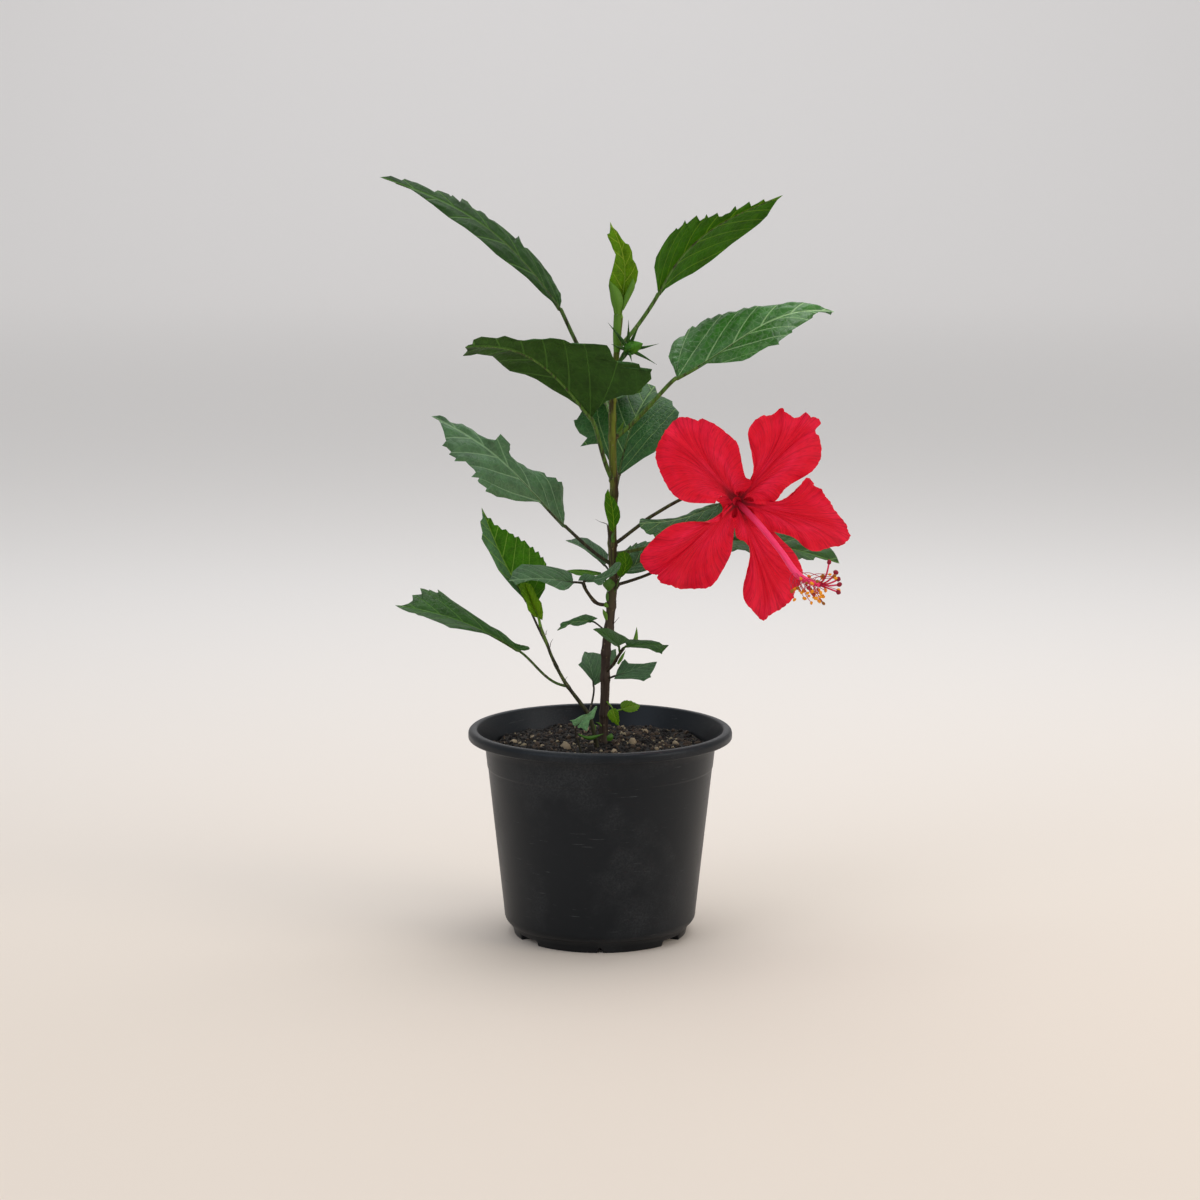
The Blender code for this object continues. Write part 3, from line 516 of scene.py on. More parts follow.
LEAVES = {
    "leaf_top_left": Leaf(
        ("main_stem", 224), (-25, -10, 406), (-135, -45, 488), (31, 28), roll=-20, fold=(-18, 14),
        arch=14, lead=0.05, stalk=1.4, finish="upward"),
    "leaf_top_right": Leaf(
        ("main_stem", 257), (37, 10, 414), (117, 25, 476), (28, 32), roll=-38, fold=(0, 2),
        arch=13, crest=0.45, lead=0.05, stalk=1.4, pucker=0.4, finish="backlit"),
    "leaf_upper_right": Leaf(
        ("main_stem", 199), (49, 5, 361), (150, 20, 402), (31, 27), roll=30, fold=(4, 8),
        arch=13, crest=0.65, lead=0.1, stalk=1.5, pucker=2.2, finish="glossy"),
    "leaf_upper_left": Leaf(
        ("main_stem", 173), (-6, -18, 338), (-83, -100, 384), (64, 50), roll=17, fold=((0, 48), -18),
        arch=17, stalk=1.5),
    "leaf_upper_back": Leaf(
        ("main_stem", 212), (4, 16, 344), (-14, 104, 356), (26, 26), arch=6, stalk=1.3),
    "leaf_behind_stem": Leaf(
        ("main_stem", 163), (12, 14, 298), (32, 70, 352), (39, 29), fold=(8, 8), arch=8, stalk=1.4,
        finish="shaded"),
    "leaf_middle_left": Leaf(
        ("main_stem", 118), (-23, -14, 269), (-106, -30, 340), (32, 24), roll=-33, fold=(-10, 5),
        arch=7.6, crest=0.58, wave=(0.05, 0.22), stalk=1.2, pucker=1.6, finish="greyish"),
    "leaf_side_shoot": Leaf(
        ("side_shoot", 78), (-47, -14, 220), (-76, -5, 279), (14, 24), roll=-50, fold=(33, 15),
        arch=0, sweep=2, stalk=0.8, lead=0.1, pucker=0.6, finish="half_lit"),
    "leaf_left_grey": Leaf(
        ("left_twig", 30), (-17, -19, 233), (-56, -50, 239), (19, 19), roll=-30, fold=(-10, 8),
        arch=2, wave=(0.08, 0.08), stalk=0.8, finish="greyish"),
    "leaf_front_grey": Leaf(
        ("left_twig", 26), (-10, -20, 234), (14, -40, 249), (10, 10), roll=45, fold=(20, 0),
        arch=-4, stalk=0.7, lead=0.1, pucker=0.5, finish="greyish"),
    "leaf_axil_left": Leaf(
        ("main_stem", 101), (1, -4, 236), (-20, -9, 240), (6, 6), roll=-15, fold=(0, 0),
        arch=1, sweep=1.5, stalk=0.6, pucker=0.3, finish="backlit"),
    "leaf_back_left": Leaf(
        ("main_stem", 111), (3, 8, 240), (-21, 34, 252), (10, 10), roll=-15, stalk=0.7,
        pucker=0.4, finish="greyish"),
    "leaf_axil_right": Leaf(
        ("main_stem", 100), (13, -6, 234), (13, -8, 251), (6.5, 6.5), fold=(0, 0), arch=2,
        sweep=-2.5, facing=(0, -1, 0), stalk=0.6, pucker=0.3, finish="backlit"),
    "leaf_back_right": Leaf(
        ("main_stem", 108), (14, 9, 235), (59, 40, 248), (15, 12), roll=25, stalk=0.8,
        teeth=(8, 1.4), finish="shaded"),
    "leaf_beside_bloom": Leaf(
        ("flower_twig", 76), (77, 10, 280), (26, -8, 267), (20, 9), roll=-15, fold=(-20, 0), arch=-4,
        stalk=0.8, finish="shaded"),
    "leaf_behind_bloom": Leaf(
        ("main_stem", 124), (58, 18, 255), (155, 30, 238), (25, 25), roll=25, arch=6, stalk=1.3),
    "leaf_behind_petal": Leaf(
        ("main_stem", 104), (36, 12, 236), (72, 62, 243), (20, 20), roll=10, arch=6, stalk=1.1,
        teeth=(9, 1.6), finish="shaded"),
    "leaf_stem_young": Leaf(
        ("main_stem", 134), (9, -7, 263), (5, -6, 290), (5.5, 6), arch=2, sweep=-1,
        facing=(0, -1, 0), stalk=0.6, pucker=0.3, finish="backlit"),
    "leaf_low_left": Leaf(
        ("main_stem", 74), (-6, -8, 206), (-28, -18, 202), (6, 6), roll=-25, arch=3, stalk=0.6,
        lead=0.35, pucker=0.4, finish="shaded"),
    "leaf_low_right_upper": Leaf(
        ("low_shoot", 30), (17, -20, 192), (43, -36, 194), (6, 8), roll=20, fold=(5, -10), arch=0.5,
        stalk=0.7, pucker=0.4),
    "leaf_low_front_left": Leaf(
        ("low_shoot", 24), (12, -19, 192), (-4, -34, 206), (9, 9), roll=-45, arch=1, stalk=0.7,
        lead=0.1, pucker=0.4),
    "leaf_low_right_lower": Leaf(
        ("main_stem", 43), (10, -5, 170), (36, -10, 176), (10, 8), roll=35, fold=(10, 0), arch=0,
        stalk=0.7, pucker=0.4, finish="greyish"),
    "leaf_low_left_broad": Leaf(
        ("side_shoot", 22), (-4, 7, 161), (-8, 22, 181), (9, 18), fold=(5, 5), stalk=0.7, pucker=0.5,
        finish="greyish"),
    "leaf_soil_left": Leaf(
        ("soil", 0), (-15, -26, 141), (-2, -22, 153), (5, 8), fold=(5, 5), arch=1,
        facing=(0, -1, 0.3), stalk=0.7, pucker=0.4, finish="pale"),
    "leaf_soil_right": Leaf(
        ("main_stem", 20), (14, 10, 145), (26, 18, 146), (6, 6), roll=30, fold=(5, 5), arch=1,
        stalk=0.6, teeth=(5, 0.9), pucker=0.3, finish="young"),
    "leaf_soil_yellow": Leaf(
        ("main_stem", 28), (8, -8, 149), (12, -14, 139), (3, 4.5), fold=(5, 5), arch=2,
        facing=(0, -1, 0), stalk=0.5, teeth=(4, 0.5), pucker=0.2, finish="young"),
    "leaf_lime_roll": Leaf(
        ("side_shoot", 200), (-39, -19.5, 210), (-48, -16, 232), (4.5, 8), fold=(30, 30), curl=60,
        facing=(0, -1, 0), stalk=0.9, pucker=0.5, finish="young"),
    "leaf_bottom_left": Leaf(
        ("side_shoot", 46), (-53, -16, 189), (-128, -40, 221), (20, 22), roll=-25, fold=(10, 12),
        arch=5.3, rise=(-1, 0, 0.1), lead=0.35, stalk=0.9, pucker=0.6),
    "leaf_crown_tip": Leaf(
        ("main_stem", 400), (12.5, -1, 406), (7, -4, 460), (10, 8), fold=(20, 20), arch=2, sweep=-6,
        facing=(0, -1, 0), stalk=1.4, pucker=0.5, finish="young"),
}
print("leaves:", len(LEAVES))


# %% Drawn margins
# Most leaves show every torn and hooked tooth, so their margins are drawn as they look
# from the camera. Each has the place its drawing starts from, right of and above the
# middle of the view, then the left and the right margin from base to tip, in millimetres.
LOW = (0.0, -25.6)  # where the drawings of all the low leaves start
MARGINS = {
    "leaf_top_left": ((-76.7, 223.7), (
        (50, -37), (45, -32), (40, -28), (30, -18), (20, -10), (10, -3), (0, 6), (-10, 14), (-20, 21),
        (-30, 29), (-40, 36), (-50, 42.5), (-56, 45), (-64, 46.5)), (
        (52, -31), (51.5, -27), (49, -22), (46, -17), (42, -12), (38, -7), (33, -2), (30, 1), (28, 1.5),
        (26, 5), (24.5, 9), (23, 6.5), (20.5, 9), (19, 10.5), (15, 14), (13, 15.5), (9, 18.5), (5, 20),
        (3, 23), (0, 25), (-2, 25), (-5, 27), (-8, 31), (-11.5, 33), (-13, 30), (-15, 33), (-17.5, 35.3),
        (-18, 34), (-20, 36), (-25, 38), (-27, 38.5), (-29, 37), (-35, 40.5), (-40, 43), (-44, 44),
        (-48, 45.5), (-50, 44.5), (-57, 47), (-64, 46.5))),
    "leaf_top_right": ((63.9, 223.7), (
        (-25, -28.5), (-22, -25), (-15, -20.5), (-5, -15), (3, -9), (10, -4.5), (17, 0), (25, 6),
        (32, 12), (38, 17), (43, 22), (46, 27), (49.5, 32), (53, 35)), (
        (-28, -20), (-29.5, -11), (-28, -5), (-25, 0), (-22, 5), (-19, 9.5), (-16, 12.5), (-15, 14),
        (-14, 13), (-11, 16), (-9.5, 19), (-8.5, 16.5), (-5, 19.5), (-2, 22), (-1, 20), (0, 18.5),
        (3, 20.5), (4.2, 23), (5, 20.5), (8, 22), (11, 24), (11.5, 21.5), (14, 21.5), (16, 23),
        (19, 24), (22.5, 28.5), (23, 25.5), (28, 28.5), (31.5, 31), (32, 27.5), (37, 30), (41, 32.5),
        (41, 30), (45, 31.5), (46, 30), (48.5, 31), (53, 35))),
    "leaf_upper_right": ((95.9, 166.1), (
        (-47.5, -22), (-49, -17.5), (-50.5, -15), (-52, -11), (-51, -8), (-50, -4), (-48.5, -1),
        (-45, 2), (-42, 3), (-40, 7), (-37, 9.5), (-35, 8.5), (-32, 11.5), (-27, 14.5), (-25, 14),
        (-20, 17), (-18, 16.5), (-14, 18.5), (-9, 18.5), (-4, 21), (-1, 20.5), (3, 22), (8, 21.5),
        (18, 22.5), (28, 24), (34, 24.2), (40, 22.8), (46, 21), (54, 18)), (
        (-46, -23.3), (-41, -19.5), (-36, -18), (-32, -17.5), (-28, -15), (-20, -14.8), (-15, -14.5),
        (-5, -13.5), (0, -11.5), (6, -7.5), (12, -4.5), (19, -3.5), (18, -2.5), (19.5, -1),
        (25, 3.5), (27, 4.5), (26, 5.5), (31, 9), (35, 11.5), (40, 14.5), (39.5, 15.5), (44, 18),
        (48, 17.5), (51.5, 16), (52.5, 17.7), (54, 18))),
    "leaf_upper_left": ((-30.7, 118.9), (
        (25, -3), (27, 0), (30, 4), (35, 8.5), (41, 10.5), (45, 12), (52, 12.5), (57.5, 14.5),
        (58, 17), (64, 23), (63.5, 27), (64.5, 29.5), (61, 28), (57.5, 28.7), (56, 32.5), (52, 32),
        (46, 32), (42, 33), (39, 36), (37, 40.5), (35, 43), (28, 43.5), (20, 43), (13, 44), (8, 47),
        (4, 48), (0, 48), (-8, 47.5), (-15, 47), (-22, 47.5), (-27, 49), (-30, 50), (-35, 48.5),
        (-40, 49), (-45, 49.5), (-50, 47.5), (-49, 45), (-53.5, 44), (-55.5, 42.5)), (
        (20, 0), (17, 5), (10, 10), (0, 15.5), (-10, 22), (-17, 25), (-22, 26), (-27, 27), (-31, 30),
        (-35, 34), (-38, 37), (-42, 37.7), (-48, 38.5), (-52, 37.5), (-57, 37), (-53.5, 40),
        (-55.5, 42.5))),
    "leaf_middle_left": ((-47.9, 63.9), (
        (25, -18), (20, -12), (15, -6), (8, -1), (0, -1), (-6, -0.5), (-13, 1.5), (-18, 2), (-22, 4),
        (-26, 5), (-25, 7), (-30, 10), (-31, 11.5), (-30, 13.5), (-35, 14), (-32, 17), (-33, 19),
        (-36, 22), (-38, 24.5), (-45, 25), (-44, 27), (-48.5, 29.5), (-47, 31), (-50, 34), (-53, 35),
        (-50, 37), (-51, 40), (-52, 44), (-54, 49), (-55, 50.5), (-52, 51), (-53, 52.3), (-60, 53.5)), (
        (25, -10), (24.5, 0), (25, 8), (24, 12), (21.5, 12), (20, 14.5), (14, 15), (12.5, 17.5),
        (9, 18.5), (5, 19), (0, 21), (-5, 24.5), (-9, 28), (-10.5, 31), (-9.5, 35.5), (-13, 39),
        (-16, 42), (-18, 38), (-24, 39), (-30, 42), (-34, 45.5), (-36, 46.5), (-40, 48), (-44, 48.5),
        (-48, 50), (-51, 53), (-55, 54), (-60, 53.5))),
    "leaf_side_shoot": ((-51.1, 19.2), (
        (0, -16), (-5, -11), (-10, -5), (-14, 0), (-17, 6), (-20, 12), (-23, 17), (-24.5, 20),
        (-24, 24), (-25, 28), (-25.5, 31), (-24, 33), (-24.5, 40)), (
        (12, -19), (16, -12), (16.5, -5), (17, 4), (15.5, 6), (15, 8.5), (13.5, 7.5), (12, 12),
        (10, 11), (8.5, 15), (7, 14), (3, 19), (1, 18), (-1, 21.5), (-3, 20), (-4.5, 23), (-7, 23.5),
        (-9, 26), (-10.5, 24.5), (-14, 28.5), (-16, 28), (-18.5, 33), (-20, 32), (-23, 37),
        (-24.5, 40))),
    "leaf_behind_stem": ((12.8, 108.6), (
        (-3, -28), (-9, -16), (-15, -8), (-18, -6), (-25.5, -10.5), (-21, -5), (-26, -2), (-29, 3),
        (-30, 7), (-28, 7.5), (-25, 12), (-20, 16), (-12, 22), (0, 27), (8, 29), (14, 31), (22.5, 28)), (
        (1, -28), (8, -23), (15, -18), (22, -14), (28, -8), (33, 0), (37, 8), (38, 11), (34, 15),
        (33.5, 18), (30, 20), (28, 20), (24, 23), (22.5, 28))),
    "leaf_crown_tip": ((16.0, 191.7), (
        (-6.5, -12), (-8, -3), (-9.5, 3), (-10.5, 9), (-10, 13), (-8.5, 18), (-7, 24), (-6, 29),
        (-8, 33), (-9, 36), (-11, 40), (-11.5, 42), (-10, 42), (-9.5, 46), (-9.5, 50)), (
        (-2.5, -12), (-1, -4), (2, 0), (5, 6), (7.5, 12), (8.5, 18), (7, 23), (5, 26), (4.5, 31),
        (2.5, 35.5), (1, 35.5), (-2, 39), (-5, 44), (-8, 46.5), (-9.5, 50))),
    "leaf_lime_roll": ((-51.1, 19.2), (
        (9, -30), (5, -26), (3.5, -20), (1, -16), (-1, -11), (0, -9), (3, -8)), (
        (14.5, -32), (15, -27), (14, -21), (11, -17), (9, -12), (7, -9), (3, -8))),
    "leaf_bottom_left": (LOW, (
        (-57, -2.5), (-62, 0), (-66, 1), (-70, 2.8), (-75, 4.5), (-80, 5.2), (-86, 6), (-92, 7),
        (-96, 7.6), (-97.5, 8.5), (-100, 10), (-105, 12), (-110, 14), (-113, 15.2), (-116, 15.8),
        (-118, 17), (-122, 17.8), (-126, 19.5), (-128, 20.5), (-131, 22.3)), (
        (-48, -6.8), (-45.5, -6.3), (-44.8, -5.2), (-46, -4), (-50, -3.3), (-54, -2.3), (-57, 0),
        (-60, 3), (-64, 6), (-70, 9), (-75, 12.5), (-80, 16), (-85, 19.7), (-90, 23), (-95, 26),
        (-100, 29.5), (-104, 32), (-102.8, 30), (-105, 30), (-109.5, 32), (-109, 31), (-112.5, 32.5),
        (-115, 33), (-114, 31.5), (-113, 29.3), (-116, 29), (-120, 28.8), (-118.5, 27.5), (-118, 26),
        (-120, 25), (-122, 23.5), (-125, 22.3), (-127, 21.9), (-131, 22.3))),
    "leaf_left_grey": (LOW, (
        (-17, 36), (-20, 33), (-23, 31.7), (-26, 32), (-30, 34), (-34, 35.8), (-38, 37.5),
        (-44, 38.2), (-48, 37.2), (-51, 36.5), (-54, 35), (-55, 37), (-58, 38)), (
        (-18, 42.5), (-22, 44.5), (-27, 46), (-32, 47), (-38, 48), (-44, 48.5), (-50, 48.3),
        (-53, 46), (-56, 43.5), (-56.5, 41), (-58, 38))),
    "leaf_front_grey": (LOW, (
        (-14, 38), (-13, 40.5), (-10, 42.5), (-7, 42), (-4, 40.5), (0, 42), (4, 44.5), (7, 47),
        (10, 49.5), (12.5, 50), (13.5, 48.8)), (
        (-8, 36.8), (-4, 37), (-1, 35), (1.5, 35), (3, 37.5), (5, 39.5), (8, 41), (10, 42.5),
        (12.5, 45.5), (13.5, 48.8))),
    "leaf_axil_left": (LOW, (
        (-1, 41.5), (-5, 41), (-10, 41), (-15, 41.5), (-19, 43), (-22, 44.2)), (
        (0.5, 43.3), (-3, 44), (-8, 44.8), (-12, 45.1), (-17, 45.1), (-20, 44.6), (-22, 44.2))),
    "leaf_axil_right": (LOW, (
        (11.2, 41.5), (10.5, 44), (10.3, 48), (10, 52), (12, 55.5), (15, 56.7)), (
        (14.5, 40.5), (17, 43), (19.5, 45.8), (21, 49), (20.5, 52), (18.5, 55.3), (15, 56.7))),
    "leaf_back_left": (LOW, (
        (2, 49.5), (-4, 53), (-10, 58), (-15, 61), (-18, 62.3), (-22, 63.6)), (
        (5, 50), (5.3, 55), (3, 57.5), (0, 60), (-5, 63), (-8, 65), (-12, 65.8), (-15, 65.5),
        (-18, 64.2), (-22, 63.6))),
    "leaf_stem_young": (LOW, (
        (6.5, 70), (5.5, 74), (4.5, 77.5), (3.8, 80), (3, 83.5), (2.6, 87), (3, 90), (3.2, 93),
        (4.2, 95), (5.2, 96.8)), (
        (9.5, 70.5), (9.9, 72.5), (11.8, 75), (13, 78.5), (12.8, 82), (12, 85), (10.5, 88),
        (9.3, 90), (8, 91.5), (6.7, 92.3), (5.9, 94.5), (5.2, 96.8))),
    "leaf_low_left": (LOW, (
        (-3, 12), (-6, 12), (-10, 10), (-14, 9), (-17, 9.2), (-20, 10.5), (-21, 9), (-22, 8),
        (-25, 7), (-27.5, 6)), (
        (-1.5, 14), (-5, 15.5), (-9, 16.5), (-13, 15.5), (-17, 14), (-20, 12.5), (-22, 12),
        (-24, 11.5), (-25.5, 10.2), (-25, 9), (-27.5, 6))),
    "leaf_low_front_left": (LOW, (
        (10, -3.8), (7, -2), (4, 0), (1, 2.5), (-2, 5.3), (-4.5, 7)), (
        (18, -1), (19, 0.5), (15, 2.5), (11, 5), (7, 7), (3, 7.7), (-2, 7.7), (-4.5, 7))),
    "leaf_low_right_upper": (LOW, (
        (16, -1), (19, 0.6), (23, 0.2), (28, 0), (33, 0), (36, -0.8), (38, -1.4), (40, -3.2),
        (44, -3.3)), (
        (20, -4.8), (26, -5), (31, -5.7), (34, -7), (36, -8), (38, -8.2), (39.5, -9), (40, -7.5),
        (44, -3.3))),
    "leaf_low_left_broad": (LOW, (
        (-5, -26), (-8, -22.5), (-11, -19), (-14, -15.7), (-12, -14), (-11.5, -11), (-10, -7.3)), (
        (0, -27), (3, -22), (8, -17), (11, -12), (10, -6), (5, -8.5), (0, -9), (-4, -8), (-7, -8.3),
        (-10, -7.3))),
    "leaf_low_right_lower": (LOW, (
        (11, -19), (14, -14), (16, -12.2), (18, -14.8), (22, -15), (28, -15), (32, -14.3),
        (36.5, -13.8)), (
        (9, -25), (15, -25), (20, -24.8), (25, -25.2), (28, -26.3), (30.5, -25), (32.8, -24),
        (32, -22.8), (33.5, -20.5), (35, -17.5), (36.5, -13.8))),
    "leaf_soil_left": (LOW, (
        (-16, -55), (-17, -54.5), (-18, -52), (-19.5, -51.4), (-18, -51.1), (-16, -50.7),
        (-14, -49.3), (-11.5, -48), (-9, -47.7), (-7, -47), (-5, -44.8), (-3, -42.3), (-2, -42)), (
        (-14.5, -55), (-14, -56.3), (-12, -56), (-9.5, -58), (-8.3, -58.4), (-7.5, -56), (-7, -53),
        (-6.5, -51), (-4, -50), (-3.4, -48), (-2.8, -46), (-1.8, -43.3), (-2, -42))),
    "leaf_beside_bloom": (LOW, (
        (82, 86), (80, 80), (76, 75.5), (70, 74), (60, 73), (50, 71), (43, 67.5), (37, 64.5),
        (35, 65.5), (34, 67.3), (32, 67), (29.5, 68), (28, 70.3), (26, 71.5), (25, 74.5)), (
        (72, 87), (68, 85.8), (65, 84.5), (62, 84), (58, 82), (55, 80), (48, 78), (42, 77.2),
        (36, 77), (30, 77.3), (27, 77.9), (25.5, 77.3), (25, 74.5))),
    "leaf_behind_bloom": (LOW, (
        (60, 67), (68, 70), (80, 73), (95, 73), (110, 70), (120, 69), (130, 66), (138, 63),
        (145, 60), (147.5, 59), (149.5, 56.5), (151.5, 53), (153, 48.9)), (
        (62, 60), (70, 57.5), (78, 56), (85, 56.5), (88, 58), (93, 57.5), (100, 54), (110, 51.5),
        (120, 50.5), (127, 51), (129, 52.2), (132, 51), (136.5, 51), (137, 53.2), (140, 52.3),
        (144.5, 51), (145, 51.5), (149, 50.2), (153, 48.9))),
}
PICTURE_DISTANCE = 2016.0  # what stands this far from the lens is drawn at its true size
SIGHT_DROP = np.radians(CAMERA_TILT)


def seen(points):
    """Where points show, right of and above the middle of the view, as the margins are drawn."""
    off = np.asarray(points, float) - np.array(CAMERA_PLACE) / MM
    away = off[..., 1] * np.cos(SIGHT_DROP) - off[..., 2] * np.sin(SIGHT_DROP)
    above = off[..., 1] * np.sin(SIGHT_DROP) + off[..., 2] * np.cos(SIGHT_DROP)
    return np.stack([off[..., 0], above], axis=-1) * (PICTURE_DISTANCE / away)[..., None]


def moved_to(point, target):
    """The point slid across the line of sight until it shows at the target."""
    right, up = np.asarray(target) - seen(point)
    return tuple(np.asarray(point) + (right, up * np.sin(SIGHT_DROP), up * np.cos(SIGHT_DROP)))


print("drawn margins:", len(MARGINS))

# %% The shape of a blade
ROUND_BASE, LONG_POINT = 0.55, 1.0  # a smaller power is a blunter end
RIPPLES, RIPPLE_START = 2.3, -0.14  # along the whole leaf


def smoothstep(low, high, x):
    """Nought below low, one above high, and a soft slope between."""
    x = np.clip((x - low) / (high - low), 0, 1)
    return x * x * (3 - 2 * x)


def outline(t):
    """Half width at a share of the length, 1 where it is greatest."""
    t = np.clip(t, 1e-6, 1 - 1e-6)
    widest = ROUND_BASE / (ROUND_BASE + LONG_POINT)
    greatest = widest ** ROUND_BASE * (1 - widest) ** LONG_POINT
    return t ** ROUND_BASE * (1 - t) ** LONG_POINT / greatest


def midrib(leaf, t):
    """Points of the midrib, and the blade's running, upright and sideways directions."""
    base, tip = np.asarray(leaf.base, float), np.asarray(leaf.tip, float)
    chord = tip - base
    along = unit(chord)
    upright = unit(np.asarray(leaf.facing, float) - np.asarray(leaf.facing, float) @ along * along)
    roll = np.radians(leaf.roll)
    upright = upright * np.cos(roll) + np.cross(along, upright) * np.sin(roll)
    sideways = np.cross(upright, along)

    def place(share):
        bow = np.sin(np.pi * np.clip(share, 0, 1) ** (np.log(0.5) / np.log(leaf.crest)))[..., None]
        return base + chord * share[..., None] + (upright * leaf.arch + sideways * leaf.sweep) * bow

    step = 1e-3
    inside = np.clip(t, step, 1 - step)
    run = place(inside + step) - place(inside - step)
    run /= np.linalg.norm(run, axis=-1)[..., None]
    up = upright - run * (run @ upright)[..., None]
    up /= np.linalg.norm(up, axis=-1)[..., None]
    return place(t), run, up, np.cross(up, run)


def fold_angle(leaf, right, t):
    """How steeply one half rises from the flat at each share of the length."""
    fold = leaf.fold[right]
    at_base, at_tip = fold if isinstance(fold, tuple) else (fold, fold)
    return np.radians(at_base + (at_tip - at_base) * np.clip(t, 0, 1))


def ripple(leaf, right, t):
    """The margin's rise and fall along one half, as a share of its width."""
    return leaf.wave[right] * np.sin(2 * np.pi * (RIPPLES * t + RIPPLE_START))


ACROSS = np.array([0, 0.02, 0.05, 0.10, 0.17, 0.25, 0.34, 0.43, 0.52, 0.61, 0.70, 0.78, 0.86,
                   0.93, 0.97, 1.0])  # places of the net's lines between midrib and margin
TOOTH_PEAK = 0.74  # share of each tooth's length where it stands out furthest
TOOTH_LEAN = 0.35  # how far its point leans towards the leaf's tip


def saw(t, leaf, rng):
    """How far the margin's teeth stand out at each t, from 0 to about 1, and their lean."""
    count = leaf.teeth[0]
    wander = t + 0.012 * np.sin(2 * np.pi * (3.1 * t + rng.uniform())) * smoothstep(0, 0.2, 1 - t)
    place = wander * count * 1.25 + rng.uniform()
    within = place % 1.0
    size = rng.uniform(0.45, 1.15, 40)[np.floor(place).astype(int) % 40]
    out = np.where(within < TOOTH_PEAK, within / TOOTH_PEAK, (1 - within) / (1 - TOOTH_PEAK)) ** 1.3
    start = smoothstep(0.12, 0.30, t)
    return out * size * start * smoothstep(0, 0.05, 1 - t), out * start * TOOTH_LEAN / (count * 1.25)


SIDE_VEINS = 5.4  # how many leave each side of the midrib, along its whole length
VEIN_SLOPE, VEIN_BEND = 1.25, 1.3  # a vein climbs this much for each step outwards, and ever more
FAN_STEP = 0.42  # angle between the veins that fan out from the base


def vein_places(across, t, right):
    """A number that is whole on each side vein, from places as shares of the leaf's length."""
    a = np.abs(across)
    start = t - VEIN_SLOPE * a - VEIN_BEND * a * a
    pinnate = start * SIDE_VEINS + 0.45 * right * smoothstep(0.02, 0.14, start)
    low = np.arctan2(a, VEIN_SLOPE * a + VEIN_BEND * a * a + 0.015)
    fan = -(np.arctan2(a, t + 0.015) - low) / FAN_STEP
    return np.where(start > 0, pinnate, fan)


def half_surface(leaf, t, reach, right):
    """Points of one flat half of the blade, so far along the leaf and out from the midrib."""
    middle, _, up, side = midrib(leaf, t)
    angle = fold_angle(leaf, right, t)
    sign = -1 if right else 1
    return middle + side * (sign * reach * np.cos(angle))[..., None] + up * (
        reach * (np.sin(angle) + ripple(leaf, right, t)))[..., None]


LOOK_FROM, LOOK_TO, LOOK_OUT = -0.35, 1.04, 2.0  # shares of the length, and of the half width


def drawn_margin(leaf, name, right, rows):
    """For each row, how far along the leaf and how far out its drawn margin lies.

    A grid of places on the half shows which one looks nearest to the drawn point, and
    four damped least-squares steps bring it there.
    """
    start, *margins = MARGINS[name]
    line = np.vstack([seen(leaf.base), np.asarray(start) + np.asarray(margins[right])])
    length = np.concatenate([[0], np.cumsum(np.linalg.norm(np.diff(line, axis=0), axis=1))])
    stops = np.linspace(0, length[-1], rows)
    for corner in length[1:-1]:
        stops[np.argmin(np.abs(stops - corner))] = corner
    target = np.stack([np.interp(stops, length, line[:, i]) for i in (0, 1)], axis=1)
    t, reach = np.meshgrid(np.linspace(LOOK_FROM, LOOK_TO, 140),
                           np.linspace(0, LOOK_OUT * max(leaf.half), 90), indexing="ij")
    shown = seen(half_surface(leaf, t, reach, right)).reshape(-1, 2)
    t, reach = t.ravel(), reach.ravel()
    drift = 0.002 * ((t[None, :] - (stops / stops[-1])[:, None]) * length[-1]) ** 2
    nearest = np.argmin(((shown[None] - target[:, None]) ** 2).sum(axis=2) + drift, axis=1)
    t, reach = t[nearest], reach[nearest]
    step = 1e-3
    for _ in range(4):
        here = seen(half_surface(leaf, t, reach, right))
        by_t = (seen(half_surface(leaf, t + step, reach, right)) - here) / step
        by_reach = seen(half_surface(leaf, t, reach + 1.0, right)) - here
        slopes = np.stack([by_t, by_reach * 100], axis=-1)
        square = np.swapaxes(slopes, 1, 2) @ slopes + 6.0 * np.eye(2)
        change = np.linalg.solve(square, np.swapaxes(slopes, 1, 2) @ (target - here)[..., None])[..., 0]
        t, reach = t + change[:, 0], np.maximum(reach + 100 * change[:, 1], 0.0)
    return t, reach


